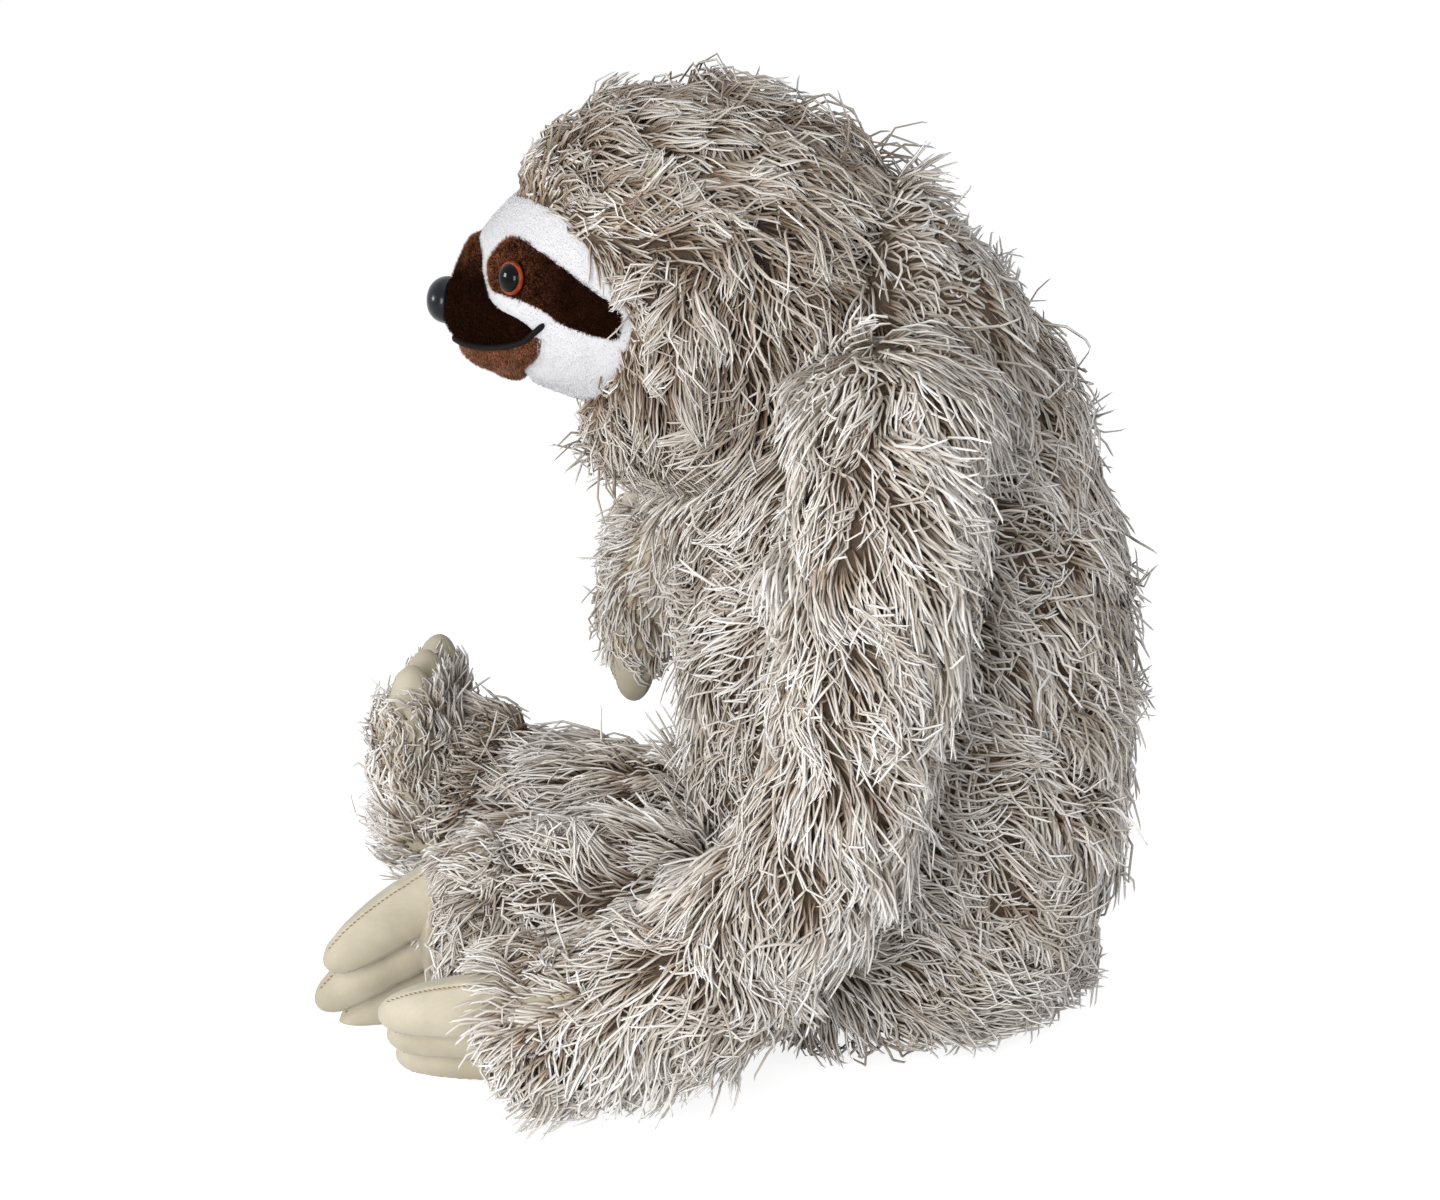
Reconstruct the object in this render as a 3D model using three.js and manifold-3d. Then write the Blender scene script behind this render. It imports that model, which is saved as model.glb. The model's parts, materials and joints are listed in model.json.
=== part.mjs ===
// A seated three-toed sloth soft toy: a stuffed body, a hooded head with a short-pile face, four limbs
// sewn on at the shoulders and hips, and three stuffed canvas claws on each limb.
import * as THREE from 'three';
import { mergeVertices } from 'three/addons/utils/BufferGeometryUtils.js';
import Module from 'manifold-3d';

const wasm = await Module();
wasm.setup();

// Driving dimensions, in millimetres. The toy faces -Y, its left side is +X, and it sits on z = 0.
const gap = 0.3; // clearance between pieces that touch
const overrun = 4; // how far a cutting solid runs past what it cuts
const restCut = 0.5; // depth of the flat that the toy's weight presses into each soft form
const pile = 17; // long pile with its backing cloth
const facePlush = 2.5; // short pile of the white face with its backing cloth

const bodyHeight = 449;
const bodyDepth = 242;
const bodyWidth = 204;
const closingSeamLength = 90;
const closingSeamWidth = 2;

const skullLength = 182; // from the tip of the muzzle to the back of the head, under the pile
const skullWidth = 142;
const skullHeight = 148;
const headForward = 108; // from the middle of the body to the middle of the head
const headRise = 376; // from the floor to the middle of the head
const neckBallRadius = 98;
const neckBack = 8; // the head nods about a line this far behind its middle
const neckDrop = 4; // and this far below it

const muzzleThickness = 4;
const chinThickness = 4.5;
const patchThickness = 2;
const stitchThickness = 1.6;
const eyeDiameter = 16;
const eyeDome = 5;
const noseWidth = 27;
const noseHeight = 23;
const noseDepth = 13;
const shankDiameter = 4;
const eyeShankLength = 11;
const noseShankLength = 17;
const washerDiameter = 14;
const washerThickness = 1.6;

const armDiameter = 92;
const shoulderHeight = 330;
const shoulderBack = 10; // the shoulder line lies this far behind the middle of the body
const shoulderInset = 26; // how deep the rounded root of an arm sits in the body's side
const legDiameter = 98;
const hipHeight = 74;
const hipForward = 112;
const legSpacing = 9; // between the two legs at the hips
const laneClearance = 4; // between an arm and the leg or body beside it
const splay = 36; // how much further out the right foot lies than the right hip

const clawLength = 88;
const clawWidth = 30;
const clawHeight = 29;
const clawRoot = 10; // how much further a claw's form starts inside the limb before it is trimmed to it
const clawCount = 3; // to a limb
const pawInset = 4; // how far the canvas paw lies inside the pile of its limb
const pawDepth = 22;

// Counts of sides and rings.
const bodySides = 24;
const skullSides = 24;
const limbSides = 12;
const fillingSides = 8;
const ballSides = 24;
const clawSides = 8;
const buttonSides = 12;
const domeRings = 4;
const rootRings = 2;
const armRings = 12;
const legRings = 10;
const spineSteps = 64;

const furColour = 0xcfc4b4;
const faceColour = 0xf4efe6;
const darkPlush = 0x4a2618;
const chinPlush = 0x77462f;
const canvasColour = 0xe3d5b0;
const fillingColour = 0xf2f2ee;
const stitchColour = 0x161212;
const eyeColour = 0x5a2a12;
const noseColour = 0x101114;
const washerColour = 0xe8e8e8;
const plasticRoughness = 0.12;

const left = 1;
const right = -1;
const X = new THREE.Vector3(1, 0, 0);
const Y = new THREE.Vector3(0, 1, 0);
const Z = new THREE.Vector3(0, 0, 1);

// Solids and geometries

function solidOf(geometry) {
  const bare = geometry.clone();
  bare.deleteAttribute('normal');
  bare.deleteAttribute('uv');
  const merged = mergeVertices(bare);
  return new wasm.Manifold(new wasm.Mesh({
    numProp: 3,
    vertProperties: new Float32Array(merged.attributes.position.array),
    triVerts: new Uint32Array(merged.index.array),
  }));
}

function geometryOf(solid) {
  const mesh = solid.getMesh();
  const geometry = new THREE.BufferGeometry();
  geometry.setAttribute('position', new THREE.BufferAttribute(new Float32Array(mesh.vertProperties), 3));
  geometry.setIndex(new THREE.BufferAttribute(new Uint32Array(mesh.triVerts), 1));
  geometry.computeVertexNormals();
  return geometry;
}

const toy = new THREE.Group();

function addPiece(name, solid, colour, roughness = 1) {
  const material = new THREE.MeshStandardMaterial({ color: colour, roughness, metalness: 0 });
  const piece = new THREE.Mesh(geometryOf(solid), material);
  piece.name = name;
  toy.add(piece);
}

// Closed skins. A ring is a list of points that run round the direction in which the skin grows.

function ring(centre, across, upward, halfAcross, halfUpward, sides, phase = 0) {
  const points = [];
  for (let side = 0; side < sides; side += 1) {
    const angle = (2 * Math.PI * (side + phase)) / sides;
    points.push(centre.clone()
      .addScaledVector(across, halfAcross * Math.cos(angle))
      .addScaledVector(upward, halfUpward * Math.sin(angle)));
  }
  return points;
}

function loft(rings, start, end) {
  const sides = rings[0].length;
  const startIndex = rings.length * sides;
  const endIndex = startIndex + 1;
  const lastRing = startIndex - sides;
  const index = [];
  for (let side = 0; side < sides; side += 1) {
    const next = (side + 1) % sides;
    index.push(startIndex, next, side, endIndex, lastRing + side, lastRing + next);
    for (let row = 0; row < lastRing; row += sides) {
      index.push(row + side, row + next, row + sides + next);
      index.push(row + side, row + sides + next, row + sides + side);
    }
  }
  const corners = [...rings.flat(), start, end].flatMap((point) => point.toArray());
  const geometry = new THREE.BufferGeometry();
  geometry.setAttribute('position', new THREE.BufferAttribute(new Float32Array(corners), 3));
  geometry.setIndex(index);
  return solidOf(geometry);
}

// Reads a table of shares as smooth curves: one value per column at a place from 0 to its last row.
function smoothRow(table, place) {
  const row = Math.min(Math.floor(place), table.length - 2);
  const t = place - row;
  const at = (n) => table[Math.max(0, Math.min(table.length - 1, n))];
  return table[0].map((_, column) => {
    const [a, b, c, d] = [at(row - 1), at(row), at(row + 1), at(row + 2)].map((line) => line[column]);
    return b + (t * ((c - a) + t * ((2 * a - 5 * b + 4 * c - d) + t * (3 * (b - c) + d - a)))) / 2;
  });
}

// What is left of a trimmed form, without the crumbs that its cutters leave between them.
const largestPart = (solid) => solid.decompose().sort((a, b) => b.volume() - a.volume())[0];

// Swells or shrinks a form about its middle by the same amount at its widest, on each axis.
function grown(solid, middle, halfSizes, extra) {
  const factors = halfSizes.map((half) => (half + extra) / half);
  return solid.translate([-middle.x, -middle.y, -middle.z])
    .scale(factors)
    .translate([middle.x, middle.y, middle.z]);
}

// An outline drawn from the side, in y and z, extruded along x between two planes.
function sidePrism(outline, fromX, toX) {
  const shape = new THREE.Shape(outline.map(([y, z]) => new THREE.Vector2(y, z)));
  const geometry = new THREE.ExtrudeGeometry(shape, { depth: toX - fromX, bevelEnabled: false });
  geometry.applyMatrix4(new THREE.Matrix4().makeBasis(Y, Z, X));
  geometry.translate(fromX, 0, 0);
  return solidOf(geometry);
}

const floorSpanShare = 4; // the floor's cutting block against the body's height
const floorSpan = bodyHeight * floorSpanShare;
const floorCutter = solidOf(new THREE.BoxGeometry(floorSpan, floorSpan, bodyHeight)
  .translate(0, 0, -bodyHeight / 2));

function restedOnFloor(solid) {
  return solid.subtract(floorCutter);
}

// The body's form: an egg that leans forward, flat where it sits.
// Each row holds the height, then how far back, forward and sideways the body reaches there.
const bodyShares = [
  [0, 0.5, 0.52, 0.56],
  [0.014, 0.66, 0.67, 0.76],
  [0.05, 0.81, 0.77, 0.88],
  [0.12, 0.92, 0.84, 0.96],
  [0.235, 0.975, 0.86, 1],
  [0.34, 1, 0.87, 1],
  [0.44, 0.98, 0.91, 0.985],
  [0.55, 0.9, 0.98, 0.96],
  [0.63, 0.82, 0.95, 0.94],
  [0.7, 0.73, 0.82, 0.9],
  [0.77, 0.6, 0.68, 0.82],
  [0.86, 0.39, 0.5, 0.66],
  [0.93, 0.15, 0.4, 0.46],
  [0.98, -0.08, 0.29, 0.25],
];
const bodyTopShare = 0.19; // how far forward the highest point of the back lies
const bodyRings = 16;
const bodyMiddle = new THREE.Vector3(0, 0, bodyHeight / 2);
const bodyHalves = [bodyWidth / 2, bodyDepth / 2, bodyHeight / 2];

function bodyForm() {
  const rings = [];
  for (let row = 0; row < bodyRings; row += 1) {
    const place = ((bodyShares.length - 1) * row) / (bodyRings - 1);
    const [height, back, front, side] = smoothRow(bodyShares, place);
    const centre = new THREE.Vector3(0, (bodyDepth / 2) * ((back - front) / 2), bodyHeight * height);
    rings.push(ring(centre, X, Y, (bodyWidth / 2) * side, (bodyDepth / 2) * ((back + front) / 2), bodySides));
  }
  const bottom = new THREE.Vector3(0, 0, -restCut);
  const top = new THREE.Vector3(0, -(bodyDepth / 2) * bodyTopShare, bodyHeight);
  return loft(rings, bottom, top);
}

// The head's form under the pile, from the muzzle to the back.
// Each row holds the place along it, the half-width, the half-height, the lift, and the pile over it.
const skullShares = [
  [0.012, 0.2, 0.2, -0.24, 0],
  [0.035, 0.31, 0.315, -0.225, 0],
  [0.07, 0.42, 0.425, -0.185, 0.1],
  [0.115, 0.52, 0.51, -0.14, 0.25],
  [0.18, 0.64, 0.63, -0.105, 0.55],
  [0.28, 0.79, 0.775, -0.045, 0.8],
  [0.41, 0.93, 0.91, 0, 1],
  [0.571, 1, 1, 0, 1],
  [0.73, 0.97, 0.96, 0, 1],
  [0.865, 0.83, 0.81, 0, 0.85],
  [0.955, 0.58, 0.57, 0, 0.6],
];
const skullMiddleShare = 0.571; // where along the skull its middle lies
const skullRings = 15;
const skullMiddle = new THREE.Vector3(0, -headForward, headRise);
const skullHalves = [skullWidth / 2, skullLength / 2, skullHeight / 2];
const muzzleTip = skullMiddle.y - skullLength * skullMiddleShare;
const skullBack = muzzleTip + skullLength;

// Half-width, half-height and centre height of the skull at a place along it, with a share of the pile.
function skullSection(place, pileDepth) {
  const [along, side, tall, lift, cover] = smoothRow(skullShares, place);
  const y = muzzleTip + skullLength * along;
  const backward = Math.max(0, y - skullMiddle.y) / (skullBack - skullMiddle.y);
  return {
    y: y + pileDepth * backward,
    halfWidth: (skullWidth / 2) * side + pileDepth * cover,
    halfHeight: (skullHeight / 2) * tall + pileDepth * cover,
    z: headRise + (skullHeight / 2) * lift,
  };
}

function skullForm(pileDepth) {
  const rings = [];
  for (let row = 0; row < skullRings; row += 1) {
    const part = skullSection(((skullShares.length - 1) * row) / (skullRings - 1), pileDepth);
    const centre = new THREE.Vector3(0, part.y, part.z);
    rings.push(ring(centre, Z, X, part.halfHeight, part.halfWidth, skullSides));
  }
  const tipSection = skullSection(0, 0);
  const front = new THREE.Vector3(0, muzzleTip, tipSection.z);
  const back = new THREE.Vector3(0, skullBack + pileDepth, skullMiddle.z);
  return loft(rings, front, back);
}

const skull = skullForm(0);
const skullGrown = (extra) => grown(skull, skullMiddle, skullHalves, extra);

const skullTolerance = 1e-5; // of one row of the table
const slopeShare = 0.005;
const slopeStep = skullHeight * slopeShare;

// A point on the skull's left cheek and the direction in which the cheek faces there.
function cheekAt(y, z) {
  const halfWidthAt = (py, pz) => {
    let low = 0;
    let high = skullShares.length - 1;
    while (high - low > skullTolerance) {
      const middle = (low + high) / 2;
      if (skullSection(middle, 0).y < py) low = middle;
      else high = middle;
    }
    const part = skullSection(low, 0);
    return part.halfWidth * Math.sqrt(Math.max(0, 1 - ((pz - part.z) / part.halfHeight) ** 2));
  };
  const x = halfWidthAt(y, z);
  const slopeY = (halfWidthAt(y + slopeStep, z) - halfWidthAt(y - slopeStep, z)) / (2 * slopeStep);
  const slopeZ = (halfWidthAt(y, z + slopeStep) - halfWidthAt(y, z - slopeStep)) / (2 * slopeStep);
  return { point: new THREE.Vector3(x, y, z), facing: new THREE.Vector3(1, -slopeY, -slopeZ).normalize() };
}

// Turns a share pair into y and z on the face: 0, 0 is the head's middle and 1 is half the skull.
function onFace([forward, up]) {
  return [skullMiddle.y - skullLength * forward, skullMiddle.z + (skullHeight / 2) * up];
}

// Outlines of the face, seen from the side, as shares of the skull's length forward and half its height up.
const faceEdgeShares = [
  [0.9, 0.39], [0.44, 0.39], [0.345, 0.42], [0.26, 0.38], [0.19, 0.23], [0.12, 0.035], [0.065, -0.15],
  [0.085, -0.35], [0.137, -0.63], [0.2, -0.85], [0.28, -1.3], [0.9, -1.3],
];
const eyePatchShares = [
  [0.459, 0.065], [0.439, 0.156], [0.4, 0.25], [0.35, 0.255], [0.311, 0.22], [0.228, 0.125], [0.145, 0],
  [0.098, -0.09], [0.084, -0.19], [0.1, -0.3], [0.155, -0.29], [0.232, -0.243], [0.296, -0.156],
  [0.378, -0.108], [0.44, -0.082],
];
const muzzleTopShares = [
  [0.9, 0.24], [0.52, 0.235], [0.496, 0.2], [0.474, 0.13], [0.471, 0.03], [0.46, -0.07], [0.445, -0.15],
  [0.41, -0.205], [0.368, -0.235], [0.325, -0.285],
];
const mouthShares = [
  [0.286, -0.25], [0.304, -0.289], [0.319, -0.321], [0.345, -0.371], [0.387, -0.418], [0.426, -0.453],
  [0.463, -0.48], [0.509, -0.487], [0.9, -0.487],
];
const smileRows = 2; // rows of the mouth line that run on behind the muzzle, up the cheek
const chinShares = [
  [0.9, -1.1], [0.42, -1.1], [0.4, -0.75], [0.374, -0.6], [0.334, -0.521], [0.32, -0.442],
];
const stitchShare = 0.012; // half the width of the mouth line, as a share of half the skull's height

const mouthLine = mouthShares.map(onFace);
const stitchHalf = (skullHeight / 2) * stitchShare;
const lineAt = (shift, fromRow = 0) => mouthLine.slice(fromRow).map(([y, z]) => [y, z + shift]);

const faceEdge = faceEdgeShares.map(onFace);
const eyePatchEdge = eyePatchShares.map(onFace);
const muzzleEdge = [...muzzleTopShares.map(onFace), ...lineAt(stitchHalf + gap, smileRows)];
const chinEdge = [...chinShares.map(onFace), ...lineAt(-stitchHalf - gap, smileRows)];
const stitchEdge = [...lineAt(stitchHalf), ...lineAt(-stitchHalf).reverse()];

// A panel of cloth laid on the skull: the part of a thin shell that lies inside an outline.
function facePanel(outline, under, over, fromX, toX) {
  return skullGrown(over).subtract(skullGrown(under)).intersect(sidePrism(outline, fromX, toX));
}
const beyondFace = skullWidth;

// Eyes and nose: moulded plastic with a shank that a washer locks behind the cloth.
function shankedButton(diameter, dome, shankLength, extra) {
  const radius = diameter / 2 + extra;
  const profile = [new THREE.Vector2(0, -shankLength - extra)];
  profile.push(new THREE.Vector2(shankDiameter / 2 + extra, -shankLength - extra));
  profile.push(new THREE.Vector2(shankDiameter / 2 + extra, -extra));
  profile.push(new THREE.Vector2(radius, -extra));
  for (let step = 1; step < domeRings; step += 1) {
    const angle = (Math.PI / 2) * (step / domeRings);
    profile.push(new THREE.Vector2(radius * Math.cos(angle), (dome + extra) * Math.sin(angle)));
  }
  profile.push(new THREE.Vector2(0, dome + extra));
  return new THREE.LatheGeometry(profile, buttonSides);
}

function lockWasher(extra) {
  const bore = shankDiameter / 2 + gap - extra;
  const rim = washerDiameter / 2 + extra;
  const low = -extra;
  const high = washerThickness + extra;
  const profile = [[bore, low], [rim, low], [rim, high], [bore, high], [bore, low]];
  return new THREE.LatheGeometry(profile.map(([r, h]) => new THREE.Vector2(r, h)), buttonSides);
}

function aimed(geometry, point, facing) {
  const turn = new THREE.Quaternion().setFromUnitVectors(Y, facing);
  return solidOf(geometry.clone().applyQuaternion(turn).translate(point.x, point.y, point.z));
}

const eyeForwardShare = 0.367;
const eyeUpShare = 0.02;
const eyeLook = cheekAt(...onFace([eyeForwardShare, eyeUpShare]));
const noseDropShare = -0.25;

// How far along its own normal a cloth layer's outside lies from the skull, where the skull is grown.
const growthAt = (point, facing, extra) => {
  const reach = point.clone().sub(skullMiddle);
  const step = new THREE.Vector3(reach.x / skullHalves[0], reach.y / skullHalves[1], reach.z / skullHalves[2]);
  return step.multiplyScalar(extra).dot(facing);
};
// How far a round surface falls away behind the rim of a flat disc that touches it.
const sag = (discDiameter, surfaceDiameter) => (discDiameter / 2) ** 2 / surfaceDiameter;

const eyeCover = growthAt(eyeLook.point, eyeLook.facing, patchThickness + gap);
const eyeSeat = gap + eyeCover + sag(eyeDiameter, skullWidth);
const eyePoint = eyeLook.point.clone().addScaledVector(eyeLook.facing, eyeSeat);
const washerStack = washerThickness + 2 * gap;
const eyeBacking = growthAt(eyeLook.point, eyeLook.facing, facePlush);
const washerDrop = eyeBacking + washerStack + sag(washerDiameter, skullWidth);
const eyeWasherPoint = eyeLook.point.clone().addScaledVector(eyeLook.facing, -washerDrop);

const muzzleRoundShare = 0.1; // the muzzle's tip against the head: far rounder than the cheek
const muzzleSag = sag(washerDiameter, skullWidth * muzzleRoundShare);
const noseCentre = new THREE.Vector3(0, muzzleTip, headRise + (skullHeight / 2) * noseDropShare);
const noseFacing = Y.clone().negate();
const noseSeat = growthAt(noseCentre, noseFacing, muzzleThickness + gap) + gap;
const nosePoint = noseCentre.clone().addScaledVector(noseFacing, noseSeat);
const noseWasherPoint = noseCentre.clone().addScaledVector(noseFacing,
  -growthAt(noseCentre, noseFacing, facePlush) - washerStack - muzzleSag);

function eyeSolid(side, extra) {
  const solid = aimed(shankedButton(eyeDiameter, eyeDome, eyeShankLength, extra), eyePoint, eyeLook.facing);
  return side === left ? solid : solid.mirror([1, 0, 0]);
}

function eyeWasher(side, extra) {
  const solid = aimed(lockWasher(extra), eyeWasherPoint, eyeLook.facing);
  return side === left ? solid : solid.mirror([1, 0, 0]);
}

function noseSolid(extra) {
  const button = shankedButton(noseHeight, noseDepth, noseShankLength, extra);
  return aimed(button, nosePoint, noseFacing).scale([noseWidth / noseHeight, 1, 1]);
}

const noseWasher = (extra) => aimed(lockWasher(extra), noseWasherPoint, noseFacing)
  .scale([noseWidth / noseHeight, 1, 1]);

// Limbs. A limb follows a bent spine, and distances along it start at the tip of its rounded root.

class Spine {
  constructor(points, reference) {
    this.curve = new THREE.CatmullRomCurve3(points, false, 'centripetal');
    this.length = this.curve.getLength();
    this.normals = [];
    let normal = reference.clone();
    for (let step = 0; step <= spineSteps; step += 1) {
      const tangent = this.curve.getTangentAt(step / spineSteps);
      normal = normal.clone().addScaledVector(tangent, -normal.dot(tangent)).normalize();
      this.normals.push(normal);
    }
  }

  at(distance) {
    const inside = Math.max(0, Math.min(this.length, distance));
    const share = inside / this.length;
    const tangent = this.curve.getTangentAt(share);
    const point = this.curve.getPointAt(share).addScaledVector(tangent, distance - inside);
    const place = Math.min(spineSteps - 1, Math.floor(share * spineSteps));
    const normal = this.normals[place].clone().lerp(this.normals[place + 1], share * spineSteps - place);
    normal.addScaledVector(tangent, -normal.dot(tangent)).normalize();
    return { point, tangent, normal, side: tangent.clone().cross(normal) };
  }
}

// A limb's round root and its run up to the cuff, swollen by an extra amount, with a straight tail past it.
function limbForm(limb, extra, tail = 0, sides = limbSides) {
  const rings = limbStations(limb, extra, limb.cuff, limb.rings, sides, false);
  const { point, tangent, normal, side } = limb.spine.at(limb.cuff);
  const end = point.clone().addScaledVector(tangent, tail);
  if (tail > 0) {
    const radius = limb.radiusAt(limb.cuff) + extra;
    rings.push(ring(end, normal, side, radius, radius, sides, 0.5));
  }
  return loft(rings, limb.spine.at(-extra).point, end);
}

// The hollow for a limb's root, which it can turn in. Its flats stand clear of the root's corners.
function rootHollow(limb, extra, until) {
  const rings = limbStations(limb, extra, until, rootRings, limbSides, true);
  return loft(rings, limb.spine.at(-extra).point, limb.spine.at(until).point);
}

function limbStations(limb, extra, until, runRings, sides, outside) {
  const swell = outside ? 1 / Math.cos(Math.PI / sides) : 1;
  const phase = outside ? 1 : 0.5;
  const rings = [];
  const addRing = (distance, radius) => {
    const { point, normal, side } = limb.spine.at(distance);
    rings.push(ring(point, normal, side, radius * swell, radius * swell, sides, phase));
  };
  const rootRadius = limb.radiusAt(limb.rootDepth) + extra;
  for (let step = 1; step <= domeRings; step += 1) {
    const angle = (Math.PI / 2) * (step / domeRings);
    addRing(limb.rootDepth - (limb.rootDepth + extra) * Math.cos(angle), rootRadius * Math.sin(angle));
  }
  for (let step = 1; step <= runRings; step += 1) {
    const distance = limb.rootDepth + ((until - limb.rootDepth) * step) / runRings;
    addRing(distance, limb.radiusAt(distance) + extra);
  }
  return rings;
}

// The canvas paw that closes a limb: flat against the filling, round in front.
function pawSolid(limb, extra) {
  const radius = limb.radiusAt(limb.cuff) - pawInset + extra;
  const depth = pawDepth + 2 * extra;
  const { point, tangent, normal, side } = limb.spine.at(limb.cuff);
  const along = (distance) => point.clone().addScaledVector(tangent, gap - extra + distance);
  const rings = [];
  for (let step = 0; step < domeRings; step += 1) {
    const angle = (Math.PI / 2) * (step / domeRings);
    const size = radius * Math.cos(angle);
    rings.push(ring(along(depth * Math.sin(angle)), normal, side, size, size, limbSides, 0.5));
  }
  return loft(rings, along(0), along(depth));
}

// A claw is a stuffed canvas horn, fullest in its middle, bent towards its tip, with a seam along its back.
const clawSwellShares = [0.68, 0.88, 0.98, 1, 0.98, 0.93, 0.82, 0.56];
const clawSeamShare = 0.05; // how far the seams stand out of a claw's sides
const clawBendShare = 0.17; // how far the tip bends off the root's line, as a share of the length
const clawTipShare = 0.04;

function clawSolid(base, aim, bend) {
  const length = clawLength + clawRoot;
  const start = base.clone().addScaledVector(aim, -clawRoot);
  const control = start.clone().addScaledVector(aim, length / 2);
  const end = start.clone().addScaledVector(aim, length).addScaledVector(bend, clawLength * clawBendShare);
  const curve = new THREE.QuadraticBezierCurve3(start, control, end);
  const rings = clawSwellShares.map((swell, row) => {
    const share = (row / (clawSwellShares.length - 1)) * (1 - clawTipShare);
    const tangent = curve.getTangent(share);
    const up = bend.clone().negate();
    up.addScaledVector(tangent, -up.dot(tangent)).normalize();
    const side = tangent.clone().cross(up);
    const centre = curve.getPoint(share);
    const points = ring(centre, up, side, (clawHeight / 2) * swell, (clawWidth / 2) * swell, clawSides);
    return points.map((point, corner) => (corner % (clawSides / 2) === 0
      ? point.clone().sub(centre).multiplyScalar(1 + clawSeamShare).add(centre) : point));
  });
  return loft(rings, start, end);
}

// Arms. The root runs straight out of the body's side, so an arm can swing about the shoulder line.
const armRadius = armDiameter / 2;
const legRadius = legDiameter / 2;
const bodyHalf = bodyWidth / 2;
const hipOut = legRadius + legSpacing / 2;
const armLane = Math.max(bodyHalf, hipOut + legRadius) + laneClearance + armRadius;
const splayAtHandShare = 0.6; // how much of the right foot's splay has been reached beside the right hand
const farLegSide = hipOut + legRadius + splay * splayAtHandShare;
const farArmLane = Math.max(bodyHalf, farLegSide) + laneClearance + armRadius;
const shoulderRunShare = 1.18; // how far an arm runs straight, against what lies inside the body's side
const straightShares = [0, 0.5, 1, 1.2];
const shoulderSideShare = 0.86; // the body's half-width at the shoulder line
const rootTip = bodyHalf * shoulderSideShare - shoulderInset;
const shoulderRun = (bodyHalf - rootTip) * shoulderRunShare;
const armSwellShares = [[1], [1.02], [1.03], [1], [0.98], [0.96], [0.97], [1], [1.02], [0.96]];

// A radius along a limb, read from a table of shares between two distances.
function limbRadius(radius, table, from, to) {
  return (distance) => {
    const share = Math.max(0, Math.min(1, (distance - from) / (to - from)));
    return radius * smoothRow(table, share * (table.length - 1))[0];
  };
}

// How high the middle of a resting limb lies, with one flat of its sides pressed into the floor.
const restHeight = (radius) => radius * Math.cos(Math.PI / limbSides) - restCut;

function armLimb(side, lane, placeShares) {
  const straight = straightShares
    .map((share) => new THREE.Vector3(side * (rootTip + shoulderRun * share), shoulderBack, shoulderHeight));
  const reach = lane - bodyHalf;
  const places = placeShares.map(([out, back, up]) => new THREE.Vector3(
    side * (bodyHalf + reach * out),
    shoulderBack + bodyDepth * back,
    restHeight(armRadius) * (1 - up) + shoulderHeight * up,
  ));
  const spine = new Spine([...straight, ...places], Z);
  const cuff = spine.length;
  const radiusAt = limbRadius(armRadius, armSwellShares, shoulderRun, cuff);
  return { spine, cuff, rootDepth: shoulderInset, rings: armRings, radiusAt };
}

// Places along each arm: how far out of the body's side, back of the shoulder and up from the floor.
const leftArmShares = [
  [0.75, 0, 0.93], [0.99, -0.01, 0.74], [1, -0.045, 0.53], [1, -0.105, 0.35], [0.99, -0.205, 0.22],
  [0.97, -0.33, 0.125], [0.93, -0.475, 0.055], [0.89, -0.62, 0.01], [0.86, -0.71, 0],
];
const rightArmShares = [
  [0.62, 0.03, 0.94], [0.93, 0.1, 0.78], [1.02, 0.17, 0.52], [1.02, 0.17, 0.3], [1, 0.04, 0.19],
  [1, -0.16, 0.22], [1, -0.34, 0.34], [1, -0.47, 0.45], [0.98, -0.58, 0.49], [0.96, -0.66, 0.46],
];

// Legs. The root is a ball, so the leg can lift, and the thigh stays inside the ball's reach beside it.
const legWaistShare = 0.93;
const legWaistLengthShare = 0.4; // how far past the ball the leg runs straight
const legSwellShares = [[legWaistShare], [0.97], [1], [1], [0.98], [0.97], [1], [0.98]];

function legLimb(side, placeShares, outShares) {
  const places = placeShares.map(([forward, up], row) => new THREE.Vector3(
    side * (hipOut + splay * outShares[row]),
    -hipForward - bodyDepth * forward,
    restHeight(legRadius) * (1 - up) + hipHeight * up,
  ));
  const [tip, hip, waist] = [legRadius, 0, -legRadius * legWaistLengthShare]
    .map((y) => new THREE.Vector3(side * hipOut, -hipForward + y, hipHeight));
  const spine = new Spine([tip, hip, waist, ...places], Z);
  const cuff = spine.length;
  const thigh = limbRadius(legRadius, legSwellShares, legRadius, cuff);
  const roundHip = (distance) => Math.sqrt(Math.max(0, legRadius ** 2 - (distance - legRadius) ** 2));
  const radiusAt = (distance) => Math.max(roundHip(distance), thigh(distance));
  return { spine, cuff, rootDepth: legRadius, rings: legRings, radiusAt };
}

// Places along each leg: how far forward of the hip, and up from the floor against the hip's height.
const leftLegShares = [[0.2, 0.7], [0.3, 0.45], [0.4, 0.45]];
const leftLegOutShares = [0, 0, 0];
const rightLegShares = [[0.2, 0.96], [0.34, 0.98], [0.47, 1.15], [0.56, 1.5]];
const rightLegOutShares = [0.3, 0.6, 0.85, 0.95];

const limbs = {
  arm_left: armLimb(left, armLane, leftArmShares),
  arm_right: armLimb(right, farArmLane, rightArmShares),
  leg_left: legLimb(left, leftLegShares, leftLegOutShares),
  leg_right: legLimb(right, rightLegShares, rightLegOutShares),
};

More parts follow.
